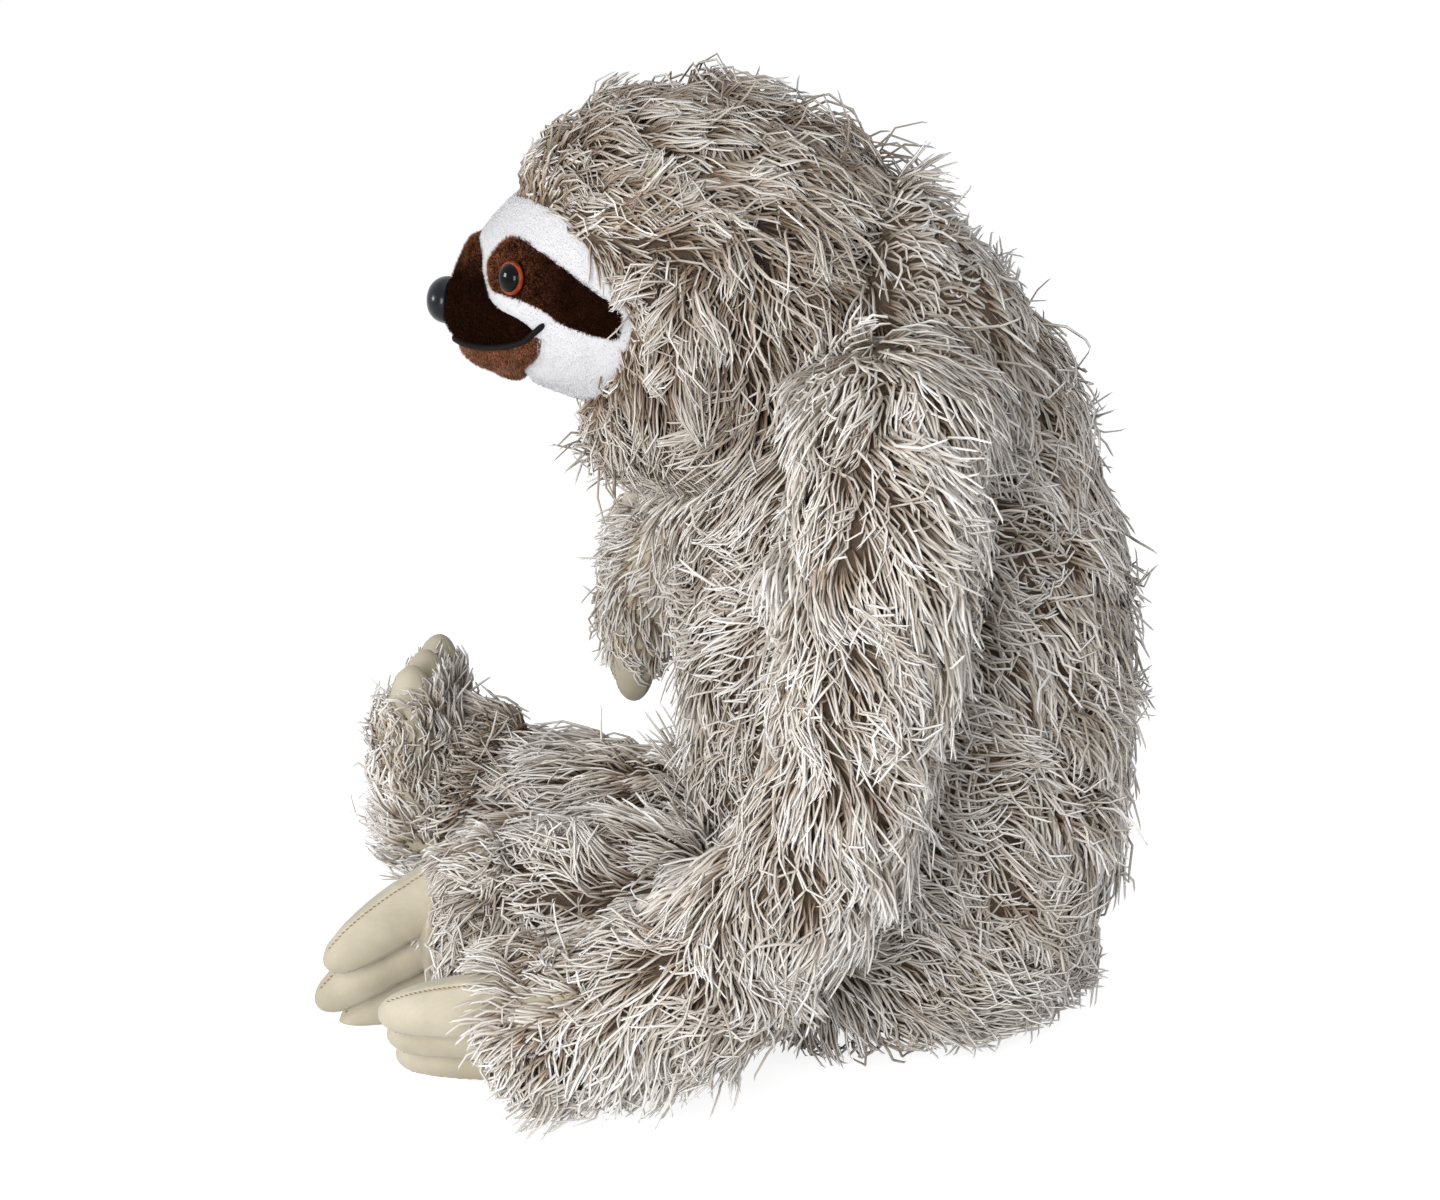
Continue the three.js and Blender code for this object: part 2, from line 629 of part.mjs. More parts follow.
// Balls turned about the x axis. An outer ball encloses the inner one at any turn about that axis.
function ball(centre, radius, halfWidth, extra, outside, fullness = 1) {
  const swell = outside ? 1 / Math.cos(Math.PI / ballSides) : 1;
  const rings = [];
  const steps = ballSides / 2;
  for (let step = 1; step < steps; step += 1) {
    const angle = Math.PI * (step / steps);
    const point = centre.clone().addScaledVector(X, -(halfWidth + extra) * Math.cos(angle));
    const size = (radius + extra) * Math.sin(angle) ** fullness * swell;
    rings.push(ring(point, Y, Z, size, size, ballSides, outside ? 0.5 : 0));
  }
  const end = centre.clone().addScaledVector(X, halfWidth + extra);
  return loft(rings, centre.clone().addScaledVector(X, -halfWidth - extra), end);
}

const neck = new THREE.Vector3(0, skullMiddle.y + neckBack, skullMiddle.z - neckDrop);
const neckHalf = skullWidth / 2 + pile;
const neckFullness = 0.85; // below 1 the neck is fuller at its sides than a ball
const hipOf = (side) => new THREE.Vector3(side * hipOut, -hipForward, hipHeight);
const hood = skullForm(pile);

// Everything that the body must leave room for, swollen by an extra amount.
function bodyHollows(extra) {
  const hollows = [ball(neck, neckBallRadius, neckHalf, extra, true, neckFullness)];
  for (const name of ['arm_left', 'arm_right']) {
    const arm = limbs[name];
    hollows.push(rootHollow(arm, extra, shoulderRun));
  }
  for (const side of [left, right]) {
    const sphere = legRadius / Math.cos(Math.PI / ballSides);
    hollows.push(ball(hipOf(side), sphere, sphere, extra, true));
  }
  return wasm.Manifold.union(hollows);
}

// Body: plush skin round a filling, closed by a seam low on the back.
const bodyEgg = bodyForm();
const bodyFillingEgg = (extra) => grown(bodyEgg, bodyMiddle, bodyHalves, extra - pile);
const seamHeightShare = 0.14;
const closingSeam = solidOf(new THREE.BoxGeometry(closingSeamLength, bodyDepth / 2, closingSeamWidth)
  .translate(0, bodyDepth / 2, bodyHeight * seamHeightShare));
const bodyRoom = bodyFillingEgg(gap).subtract(bodyHollows(pile / 2 - gap));
const bodySkin = restedOnFloor(bodyEgg).subtract(bodyHollows(gap)).subtract(bodyRoom).subtract(closingSeam);
addPiece('body_skin', bodySkin, furColour);
addPiece('body_stuffing', bodyFillingEgg(0).subtract(bodyHollows(pile / 2)), fillingColour);

// Head: a plush hood with a ball-shaped neck, open at the face, round a filling.
const faceOpening = sidePrism(faceEdge, -beyondFace, beyondFace);
const neckBall = ball(neck, neckBallRadius, neckHalf, 0, false, neckFullness);
const headSkin = hood.add(neckBall).subtract(skullGrown(gap)).subtract(faceOpening);
addPiece('head_skin', headSkin, furColour);

const nails = wasm.Manifold.union([eyeSolid(left, gap), eyeSolid(right, gap), noseSolid(gap)]);
const washers = wasm.Manifold.union([eyeWasher(left, gap), eyeWasher(right, gap), noseWasher(gap)]);
const headFilling = skullGrown(-facePlush - gap).subtract(nails).subtract(washers);
addPiece('head_stuffing', largestPart(headFilling), fillingColour);

const maskShell = skull.subtract(skullGrown(-facePlush)).intersect(faceOpening);
addPiece('face_mask', maskShell.subtract(nails), faceColour);

const patchTop = patchThickness + gap;
const eyePatchOf = { left: [0, beyondFace], right: [-beyondFace, 0] };
for (const [name, [fromX, toX]] of Object.entries(eyePatchOf)) {
  const patch = facePanel(eyePatchEdge, gap, patchTop, fromX, toX);
  addPiece(`eye_patch_${name}`, patch.subtract(nails), darkPlush);
}
const muzzle = facePanel(muzzleEdge, gap, muzzleThickness + gap, -beyondFace, beyondFace);
addPiece('muzzle', muzzle.subtract(nails), darkPlush);
addPiece('chin', facePanel(chinEdge, gap, chinThickness + gap, -beyondFace, beyondFace), chinPlush);
const stitch = facePanel(stitchEdge, gap, stitchThickness + gap, -beyondFace, beyondFace);
addPiece('mouth_stitch', stitch, stitchColour);

for (const [name, side] of [['left', left], ['right', right]]) {
  addPiece(`eye_${name}`, eyeSolid(side, 0), eyeColour, plasticRoughness);
  addPiece(`eye_washer_${name}`, eyeWasher(side, 0), washerColour, plasticRoughness);
}
addPiece('nose', noseSolid(0), noseColour, plasticRoughness);
addPiece('nose_washer', noseWasher(0), washerColour, plasticRoughness);

// Claws: side by side across the paw, all bent the same way and drawn a little together at their tips.
// Each limb's entry holds the middle claw's root from the cuff's middle as shares of the limb's radius,
// the line of the claws' row, their aim, their bend, how far each one leans towards the middle one, and
// how far each one's root lies forward along the aim, as shares of a claw's length.
const clawRows = {
  arm_left: {
    root: [-0.09, 0.63, -0.07], row: [0.75, 0, 0.66], aim: [0, -1, 0.08], bend: [0, 0, -1],
    lean: 0.05, forward: [0, 0, 0],
  },
  arm_right: {
    root: [0, -0.03, 0.66], row: [0.9, 0.3, 0], aim: [0.05, -0.3, -0.95], bend: [0, 1, -0.3],
    lean: 0.1, forward: [0, 0, 0],
  },
  leg_left: {
    root: [-0.27, 0.39, 0.16], row: [0.6, 0.1, 0.79], aim: [0.293, -0.887, -0.356], bend: [0, 0.3, -0.95],
    lean: 0.02, forward: [0, 0.15, 0.1],
  },
  leg_right: {
    root: [0, -0.1, -0.38], row: [1, 0, 0], aim: [0, -0.2, 0.97], bend: [0, 1, 0],
    lean: 0.02, forward: [0, 0, 0],
  },
};
const clawPitch = clawWidth * (1 + clawSeamShare) + gap * 2;

for (const [name, limb] of Object.entries(limbs)) {
  const isFoot = name.startsWith('leg');
  const skinRoom = limbForm(limb, gap - pile, overrun, fillingSides);
  addPiece(`${name}_skin`, restedOnFloor(limbForm(limb, 0).subtract(skinRoom)), furColour);
  addPiece(`${name}_stuffing`, limbForm(limb, -pile, 0, fillingSides), fillingColour);
  addPiece(`${name}_${isFoot ? 'sole' : 'palm'}`, restedOnFloor(pawSolid(limb, 0)), canvasColour);

  const taken = limbForm(limb, gap, gap).add(pawSolid(limb, gap));
  const claws = clawRows[name];
  const [aim, rowLine, bend, root] = [claws.aim, claws.row, claws.bend, claws.root]
    .map((shares) => new THREE.Vector3(...shares));
  aim.normalize();
  bend.normalize();
  rowLine.addScaledVector(aim, -rowLine.dot(aim)).normalize();
  const middle = limb.spine.at(limb.cuff).point.addScaledVector(root, limb.radiusAt(limb.cuff));
  for (let claw = 0; claw < clawCount; claw += 1) {
    const place = (clawCount - 1) / 2 - claw;
    const base = middle.clone().addScaledVector(rowLine, place * clawPitch)
      .addScaledVector(aim, clawLength * claws.forward[claw]);
    const leaning = aim.clone().addScaledVector(rowLine, -place * claws.lean).normalize();
    // A claw shows where it leaves the limb, so only its part outside is kept.
    const horn = largestPart(restedOnFloor(clawSolid(base, leaning, bend)).subtract(taken));
    addPiece(`${name}_claw_${claw + 1}`, horn, canvasColour);
  }
}

export default toy;
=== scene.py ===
import json
import math

import bpy
import numpy as np
from mathutils import Matrix, Vector
from mathutils.bvhtree import BVHTree
from mathutils.kdtree import KDTree

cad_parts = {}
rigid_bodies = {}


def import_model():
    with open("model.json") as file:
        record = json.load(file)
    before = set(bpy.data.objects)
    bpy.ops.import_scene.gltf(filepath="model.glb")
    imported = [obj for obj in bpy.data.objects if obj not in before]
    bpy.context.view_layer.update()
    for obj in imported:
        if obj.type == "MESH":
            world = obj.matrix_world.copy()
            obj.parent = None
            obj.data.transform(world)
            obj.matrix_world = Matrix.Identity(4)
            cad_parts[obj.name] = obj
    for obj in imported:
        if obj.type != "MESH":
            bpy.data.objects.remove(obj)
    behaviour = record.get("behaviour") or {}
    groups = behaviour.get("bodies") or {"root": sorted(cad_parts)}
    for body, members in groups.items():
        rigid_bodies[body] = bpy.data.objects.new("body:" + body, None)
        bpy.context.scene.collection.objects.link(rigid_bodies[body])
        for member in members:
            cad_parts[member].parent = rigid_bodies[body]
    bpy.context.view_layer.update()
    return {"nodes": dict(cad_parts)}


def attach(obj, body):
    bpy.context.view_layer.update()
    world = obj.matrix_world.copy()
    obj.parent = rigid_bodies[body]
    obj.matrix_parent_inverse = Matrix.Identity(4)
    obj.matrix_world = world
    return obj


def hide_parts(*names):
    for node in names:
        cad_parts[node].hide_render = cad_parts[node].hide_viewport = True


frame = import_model()
mm = 0.001

# Camera
# A long lens to the left of the toy, a little behind it and 15 degrees above the floor.
# The middle of the seat falls on a known place in the 1440 x 1200 frame.
azimuth, elevation = math.radians(99), math.radians(15)
distance, focal = 1.8, 3600
wide, high, seat_x, seat_y = 1440, 1200, 890, 1018
forward = Vector((-math.sin(azimuth) * math.cos(elevation), math.cos(azimuth) * math.cos(elevation),
                  -math.sin(elevation)))
rightward = Vector((math.cos(azimuth), math.sin(azimuth), 0))
upward = rightward.cross(forward)
eye_point = -distance * (forward + rightward * (seat_x - wide / 2) / focal + upward * (high / 2 - seat_y) / focal)
camera = bpy.data.objects.new("camera", bpy.data.cameras.new("camera"))
camera.data.sensor_width = 36
camera.data.lens = focal * camera.data.sensor_width / wide
camera.matrix_world = Matrix((
    (rightward.x, upward.x, -forward.x, eye_point.x),
    (rightward.y, upward.y, -forward.y, eye_point.y),
    (rightward.z, upward.z, -forward.z, eye_point.z),
    (0, 0, 0, 1),
))
bpy.context.collection.objects.link(camera)
bpy.context.scene.camera = camera
bpy.context.scene.view_settings.view_transform = "Standard"


# Floor and backdrop
# A plain white sweep: the camera sees it as lit white paper that still takes the toy's soft shadow.
def hex_colour(text):
    """A colour picked in sRGB, as the linear colour that shaders take."""
    channels = [int(text[i:i + 2], 16) / 255 for i in (0, 2, 4)]
    return tuple(c / 12.92 if c <= 0.04045 else ((c + 0.055) / 1.055) ** 2.4 for c in channels) + (1,)


def new_tree(name):
    """A new material with an empty node tree, and its output node."""
    material = bpy.data.materials.new(name)
    material.use_nodes = True
    material.node_tree.nodes.clear()
    return material, material.node_tree, material.node_tree.nodes.new("ShaderNodeOutputMaterial")


def add_node(tree, kind, settings=None, **inputs):
    """A shader node with its settings, whose inputs are numbers, colours or other nodes' sockets."""
    node = tree.nodes.new("ShaderNode" + kind)
    for key, value in (settings or {}).items():
        setattr(node, key, value)
    for key, value in inputs.items():
        socket = node.inputs[int(key[1:])] if key[0] == "_" else node.inputs[key.replace("_", " ")]
        if isinstance(value, bpy.types.NodeSocket):
            tree.links.new(value, socket)
        else:
            socket.default_value = value
    return node


def backdrop_rays(tree):
    """1 for the rays that see the backdrop's white: the camera's own, and its mirrored and bent ones."""
    path = add_node(tree, "LightPath").outputs
    straight = add_node(tree, "Math", {"operation": "ADD"}, _0=path["Is Camera Ray"], _1=path["Is Glossy Ray"])
    every = add_node(tree, "Math", {"operation": "ADD", "use_clamp": True}, _0=straight.outputs[0],
                     _1=path["Is Transmission Ray"])
    return every.outputs[0]


bpy.ops.mesh.primitive_plane_add(size=12)
floor = bpy.context.object
floor.name = "floor"
paper, tree, output = new_tree("paper")
diffuse = add_node(tree, "BsdfDiffuse", Color=hex_colour("f2f2f2"))
shaded = add_node(tree, "BsdfDiffuse", Color=hex_colour("aaaaaa"))
glow = add_node(tree, "Emission", Color=(1, 1, 1, 1), Strength=0.86)
lit = add_node(tree, "AddShader", _0=shaded.outputs[0], _1=glow.outputs[0])
seen = add_node(tree, "MixShader", _0=backdrop_rays(tree), _1=diffuse.outputs[0], _2=lit.outputs[0])
tree.links.new(seen.outputs[0], output.inputs[0])
floor.data.materials.append(paper)

world = bpy.data.worlds.new("studio")
bpy.context.scene.world = world
world.use_nodes = True
tree = world.node_tree
tree.nodes.clear()
room = add_node(tree, "Background", Color=hex_colour("f1f4fa"), Strength=0.42)
white = add_node(tree, "Background", Color=(1, 1, 1, 1), Strength=1)
mixed = add_node(tree, "MixShader", _0=backdrop_rays(tree), _1=room.outputs[0], _2=white.outputs[0])
add_node(tree, "OutputWorld", Surface=mixed.outputs[0])

# Lights
# A soft box beside the camera, a window in front of the toy, and weak light from behind and above.
for name, place, size, power in (
    ("key", (1.6, -0.3, 0.6), 0.7, 22.5),
    ("window", (0.35, -1.5, 0.62), 0.3, 8),
    ("rear", (1.1, 1.4, 0.6), 1.2, 5),
    ("top", (-0.2, 0.1, 1.8), 1.4, 2.5),
):
    lamp = bpy.data.objects.new(name, bpy.data.lights.new(name, "AREA"))
    lamp.data.size = size
    lamp.data.energy = power
    lamp.location = place
    aim = Vector((0, -0.06, 0.24)) - lamp.location
    lamp.rotation_euler = aim.to_track_quat("-Z", "Y").to_euler()
    bpy.context.collection.objects.link(lamp)


# Backings
# Under the long pile every part is a bag of knitted cloth filled with polyester fibre.
# Each bag here is its filling's form, swelled to where the cloth lies under the pile.
def activate(obj):
    """Makes obj the one selected, active object, for operators."""
    bpy.ops.object.select_all(action="DESELECT")
    obj.select_set(True)
    bpy.context.view_layer.objects.active = obj


def modify(obj, kind, **settings):
    """Adds a modifier to obj and applies it."""
    modifier = obj.modifiers.new(kind.lower(), kind)
    for key, value in settings.items():
        setattr(modifier, key, value)
    activate(obj)
    bpy.ops.object.modifier_apply(modifier=modifier.name)


def copy_of(node, name):
    """A new object with a copy of a CAD node's mesh, its seams between facets joined."""
    piece = bpy.data.objects.new(name, frame["nodes"][node].data.copy())
    bpy.context.collection.objects.link(piece)
    piece.data.materials.clear()
    modify(piece, "WELD", merge_threshold=0.01 * mm)
    return piece


def swelled(node, name, swell, voxel, rounds):
    """A CAD solid's form, swelled and made smooth."""
    piece = copy_of(node, name)
    modify(piece, "REMESH", mode="VOXEL", voxel_size=voxel * mm)
    modify(piece, "SMOOTH", factor=0.5, iterations=rounds)
    modify(piece, "DISPLACE", strength=swell * mm, mid_level=0)
    modify(piece, "SMOOTH", factor=0.5, iterations=2)
    piece.data.shade_smooth()
    return piece


def noise(tree, scale, detail=2):
    """Noise in the object's own coordinates."""
    place = add_node(tree, "TexCoord")
    return add_node(tree, "TexNoise", Vector=place.outputs["Object"], Scale=scale, Detail=detail).outputs[0]


def colour_ramp(tree, amount, *stops):
    """A run through sRGB colours, each given with its place along amount."""
    ramp = add_node(tree, "ValToRGB", Fac=amount)
    elements = ramp.color_ramp.elements
    for k in (0, -1):
        elements[k].position, elements[k].color = stops[k][0], hex_colour(stops[k][1])
    for place, colour in stops[1:-1]:
        elements.new(place).color = hex_colour(colour)
    return ramp.outputs[0]


def finish(tree, output, height=None, depth=0, strength=1, **inputs):
    """A material's surface, raised by height, where one is given, over a depth in mm."""
    if height is not None:
        bump = add_node(tree, "Bump", Height=height, Distance=depth * mm, Strength=strength)
        inputs["Normal"] = bump.outputs[0]
    tree.links.new(add_node(tree, "BsdfPrincipled", **inputs).outputs[0], output.inputs[0])


def mottled(name, dark, light, scale, detail=2, start=0, end=1, depth=0, **inputs):
    """A material whose colour drifts from dark to light, raised with its drift over a depth in mm."""
    material, tree, output = new_tree(name)
    drift = noise(tree, scale, detail)
    colour = colour_ramp(tree, drift, (start, dark), (end, light))
    finish(tree, output, drift if depth else None, depth, Base_Color=colour, **inputs)
    return material


# The backing's dark brown is partly its own colour and partly painted shade: it darkens the gaps between locks as
# shadow would.
cloth = mottled("knitted_backing", "3d3025", "594939", 420, depth=0.5, Roughness=0.95)


def vertex_array(obj, key="co"):
    """An object's vertex places or normals, as rows."""
    values = np.empty(len(obj.data.vertices) * 3)
    obj.data.vertices.foreach_get(key, values)
    return values.reshape(-1, 3)


def gap_to_outline(outline, points):
    """How far points lie outside an outline in y and z, in metres; negative inside."""
    y, z, flat = points[:, 1], points[:, 2], points[:, 1:]
    gap = np.full(len(points), np.inf)
    inside = np.zeros(len(points), bool)
    for a, b in zip(outline, np.roll(outline, -1, 0)):
        d = b - a
        share = np.clip(((flat - a) @ d) / (d @ d), 0, 1)
        gap = np.minimum(gap, np.linalg.norm(flat - a - share[:, None] * d, axis=1))
        rise = d[1] if abs(d[1]) > 1e-12 else 1e-12
        inside ^= ((a[1] > z) != (b[1] > z)) & (y < a[0] + (z - a[1]) / rise * d[0])
    return np.where(inside, -gap, gap)


head_middle = np.array([0, -108, 376]) * mm
head_size = np.array([142, 182, 148]) * mm


def on_face(shares):
    """Share pairs, forward and up from the head's middle, as y and z in metres."""
    return [(head_middle[1] - head_size[1] * ahead, head_middle[2] + head_size[2] / 2 * up) for ahead, up in shares]


face_edge = np.array(on_face([
    (0.9, 0.39), (0.44, 0.39), (0.345, 0.42), (0.26, 0.38), (0.19, 0.23), (0.12, 0.035), (0.065, -0.15),
    (0.085, -0.35), (0.137, -0.63), (0.2, -0.85), (0.28, -1.3), (0.9, -1.3),
]))


def face_gap(points):
    """How far points lie outside the face's edge."""
    return gap_to_outline(face_edge, points)


def declare(piece, material, fill, part, slot, *nodes):
    """Gives a piece its material and body and hides the nodes that it stands for; its fill and slot are not used."""
    piece.data.materials.append(material)
    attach(piece, part)
    if nodes:
        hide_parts(*nodes)


backings = {}
for part in ("body", "head", "arm_left", "arm_right", "leg_left", "leg_right"):
    if part == "head":
        # The hood's cloth lies outside the face's cloth, and its neck is the ball that turns in the body.
        bpy.ops.mesh.primitive_ico_sphere_add(subdivisions=4, radius=1, location=(0, -0.084, 0.362),
                                              scale=(0.07, 0.068, 0.08))
        ball = bpy.context.object
        backing = copy_of("head_stuffing", "head_backing")
        activate(backing)
        ball.select_set(True)
        bpy.ops.object.join()
        modify(backing, "REMESH", mode="VOXEL", voxel_size=5 * mm)
        modify(backing, "SMOOTH", factor=0.5, iterations=8)
        place = vertex_array(backing)
        rise = 1.4 * mm + 5.5 * mm * np.clip((face_gap(place) - 2 * mm) / (9 * mm), 0, 1)
        place += vertex_array(backing, "normal") * rise[:, None]
        backing.data.vertices.foreach_set("co", place.ravel())
        backing.data.update()
        modify(backing, "SMOOTH", factor=0.5, iterations=2)
        backing.data.shade_smooth()
    else:
        backing = swelled(part + "_stuffing", part + "_backing", 5, 5, 6)
    declare(backing, cloth, 0.8, part, "long_pile", part + "_skin", part + "_stuffing")
    backings[part] = backing

# Paws
# A round of cream canvas closes each limb inside the long pile and swells out with the filling.
canvas, tree, output = new_tree("cream_cotton_canvas")
place = add_node(tree, "TexCoord")
# Threads lie about 0.55 mm apart; drawn nearly twice as coarse so that they show.
weave = [add_node(tree, "TexWave", {"bands_direction": direction}, Vector=place.outputs["Object"], Scale=330,
                  Distortion=0.6, Detail=1).outputs[1] for direction in "XYZ"]
grid = add_node(tree, "Math", {"operation": "MULTIPLY"}, _0=weave[0], _1=weave[1])
grid = add_node(tree, "Math", {"operation": "MULTIPLY_ADD"}, _0=weave[2], _1=0.5, _2=grid.outputs[0]).outputs[0]
soil = colour_ramp(tree, noise(tree, 38, 4), (0.3, "a79e89"), (0.7, "beb5a1"))
threads = add_node(tree, "Mix", {"data_type": "RGBA", "blend_type": "MULTIPLY"}, _0=0.05, _6=soil, _7=grid)
finish(tree, output, grid, 0.07, 0.5, Base_Color=threads.outputs[2], Roughness=0.88, Sheen_Weight=0.15)


for part, ending in (("arm_left", "palm"), ("arm_right", "palm"), ("leg_left", "sole"), ("leg_right", "sole")):
    node = part + "_" + ending
    declare(swelled(node, node + "_canvas", -5, 2.5, 5), canvas, 0.7, part, "canvas", node)

# Claws
# Three stuffed canvas horns on each limb, fullest near the root and bent towards a narrow tip.
# Each is sewn from three gores, so three seams run along it, puckered by their stitches.
claw_swell = np.array([0.84, 0.98, 1.05, 1.05, 1.0, 0.92, 0.79, 0.54])
claw_rows = {
    "arm_left": [((165.6, -132.3, 61.9), (-0.038, -0.998, 0.047)), ((141.5, -134, 40.8), (0, -0.997, 0.08)),
                 ((117.3, -135.7, 19.7), (0.038, -0.993, 0.112))],
    "arm_right": [((-140.7, -141.3, 203.2), (-0.045, -0.329, -0.943)),
                  ((-171.2, -151, 204.7), (0.05, -0.301, -0.952)),
                  ((-201.8, -160.7, 206.1), (0.145, -0.269, -0.952))],
    "leg_left": [((62.1, -192.4, 90.4), (0.28, -0.886, -0.371)), ((44.4, -201.8, 62), (0.293, -0.887, -0.356)),
                 ((21.6, -195.5, 39.9), (0.306, -0.889, -0.341))],
    "leg_right": [((-55.6, -252.3, 69.3), (-0.02, -0.202, 0.979)), ((-87.7, -252.3, 69.3), (0, -0.202, 0.979)),
                  ((-119.8, -252.3, 69.3), (0.02, -0.202, 0.979))],
}
claw_bends = {"arm_left": (0, 0, -1), "arm_right": (0, 0.958, -0.287), "leg_left": (0, 0.301, -0.954),
              "leg_right": (0, 1, 0)}
seam_turns = {"arm_left": -0.55, "arm_right": -0.55, "leg_left": -0.55, "leg_right": 0.4}
half_gore = [0, 0.03, 0.075, 0.14, 0.24, 0.4, 0.62, 0.88]
third = 2 * math.pi / 3
ring_turns = np.array([third * gore + q for gore in range(3)
                       for q in half_gore + [third - q for q in half_gore[:0:-1]]])
claw_stations = 56
claw_length, claw_height, claw_width, claw_drop = 98, 14.5, 15, 14.96
first_stitch, last_stitch, stitch_step = 14, 90, 2.3
thread_brown = mottled("brown_sewing_thread", "6b5238", "947a59", 1500, Roughness=0.7)


def unit(vectors):
    return vectors / np.maximum(np.linalg.norm(vectors, axis=-1, keepdims=True), 1e-9)


def across(vectors, normals):
    """The vectors' parts along the surface, at unit length."""
    return unit(vectors - normals * (vectors * normals).sum(1, keepdims=True))


def piece_of(name, mesh, *what):
    """A new piece from a mesh; the rest is as for declare."""
    piece = bpy.data.objects.new(name, mesh)
    bpy.context.collection.objects.link(piece)
    declare(piece, *what)
    return piece


def object_of(name, points, faces, *what):
    """A new smooth piece from points and faces; the rest is as for declare."""
    mesh = bpy.data.meshes.new(name)
    mesh.from_pydata([tuple(p) for p in points], [], [tuple(int(k) for k in f) for f in faces])
    mesh.update()
    mesh.shade_smooth()
    return piece_of(name, mesh, *what)


def tube_faces(rings, sides):
    """A closed tube's faces. Its rings' points come first, then the middles of its first and last ring."""
    faces = [(low + k, low + (k + 1) % sides, low + sides + (k + 1) % sides, low + sides + k)
             for low in range(0, (rings - 1) * sides, sides) for k in range(sides)]
    last, middle = (rings - 1) * sides, rings * sides
    for k in range(sides):
        faces += [(middle, (k + 1) % sides, k), (middle + 1, last + k, last + (k + 1) % sides)]
    return faces


def face_outwards(piece):
    """Turns a closed piece's faces outwards."""
    activate(piece)
    bpy.ops.object.mode_set(mode="EDIT")
    bpy.ops.mesh.select_all(action="SELECT")
    bpy.ops.mesh.normals_make_consistent(inside=False)
    bpy.ops.object.mode_set(mode="OBJECT")


def claw(part, number, base, aim, seed):
    """One claw with its stitches. A ridge, a groove and puckers follow each seam, and a few folds cross it."""
    rng = np.random.default_rng(seed)
    base, aim, bend = np.array(base) * mm, unit(np.array(aim)), unit(np.array(claw_bends[part]))
    start = base - aim * 10 * mm
    control = start + aim * claw_length / 2 * mm
    end = start + aim * claw_length * mm + bend * claw_drop * mm
    shares = np.linspace(0, 1, claw_stations)
    shares[-8:] = 1 - (1 - shares[-8]) * (1 - np.sin(np.linspace(0, math.pi / 2, 8)))
    t = shares[:, None]
    centre = (1 - t) ** 2 * start + 2 * t * (1 - t) * control + t ** 2 * end
    tangent = unit(2 * (1 - t) * (control - start) + 2 * t * (end - control))
    up = across(-bend, tangent)
    side = np.cross(tangent, up)
    girth = np.interp(shares / 0.96, np.linspace(0, 1, len(claw_swell)), claw_swell)
    for _ in range(4):
        girth[1:-1] = (girth[:-2] + 2 * girth[1:-1] + girth[2:]) / 4
    tail = np.clip((shares - 0.9) / 0.1, 0, 1)
    girth = girth * np.sqrt(np.clip(1 - tail ** 2, 0.0004, 1))
    reach = claw_length * t
    gap = np.abs((ring_turns + third / 2) % third - third / 2)
    ridge = 0.045 * np.exp(-(gap / 0.32) ** 2)
    groove = 0.075 * np.exp(-(gap / 0.045) ** 2)
    pucker = np.sin(reach * 2 * math.pi / 4.4 + 1.5 * np.sin(reach / 7))
    pucker = pucker * 0.012 * np.exp(-((gap - 0.12) / 0.2) ** 2)
    fold = 0
    for _ in range(5):
        at, wide, angle = rng.uniform(16, 60), rng.uniform(1.4, 2.6), rng.uniform(0, 6.28)
        slant = rng.uniform(-4, 4)
        nearby = np.exp(-((reach - at - slant * np.sin(ring_turns - angle)) / wide) ** 2)
        fold = fold - 0.035 * nearby * np.clip(np.cos(ring_turns - angle), 0, 1)
    sway = 0.012 * np.sin(reach / 9 + 2 * np.sin(ring_turns + seed))
    form = girth[:, None] * (1 + ridge - groove + pucker + fold + sway)
    turns = (ring_turns + seam_turns[part])[:, None]
    points = centre[:, None] + form[:, :, None] * (
        up[:, None] * claw_height * mm * np.cos(turns) + side[:, None] * claw_width * mm * np.sin(turns))
    height = points[:, :, 2]
    points[:, :, 2] = np.maximum(height, 0.3 * mm + 0.1 * (height - height.min()))
    sides = len(ring_turns)
    name = f"{part}_claw_{number}"
    flat = [*points.reshape(-1, 3), centre[0], points[-1].mean(0)]
    face_outwards(object_of(name + "_canvas", flat, tube_faces(claw_stations, sides), canvas, 0.85, part, "canvas",
                            name))

    # Stitches: short threads that cross the seam's groove.
    marks, mark_faces = [], []
    for column in range(0, sides, sides // 3):
        for place in np.arange(first_stitch, last_stitch, stitch_step):
            row = np.interp(place / claw_length, shares, np.arange(claw_stations))
            low = int(row)
            spot = points[low, column] + (row - low) * (points[low + 1, column] - points[low, column])
            if spot[2] < 1.5 * mm:
                continue
            out = unit(spot - centre[low])
            over = np.cross(tangent[low], out)
            spot = spot + out * 0.35 * mm
            long_way, wide_way = tangent[low] * 0.85 * mm + over * 0.3 * mm, over * 0.24 * mm
            first = len(marks)
            marks += [spot + a * long_way + b * wide_way + c * out * 0.2 * mm
                      for c in (-1, 1) for a, b in ((-1, -0.6), (0, -1), (1, -0.6), (1, 0.6), (0, 1), (-1, 0.6))]
            mark_faces += [tuple(range(first + 5, first - 1, -1)), tuple(range(first + 6, first + 12))]
            mark_faces += [(first + k, first + (k + 1) % 6, first + 6 + (k + 1) % 6, first + 6 + k) for k in range(6)]
    object_of(name + "_stitches", marks, mark_faces, thread_brown, None, part, "thread")


for limb, (part, rows) in enumerate(claw_rows.items()):
    for number, (base, aim) in enumerate(rows):
        claw(part, number + 1, base, aim, 3 * limb + number)
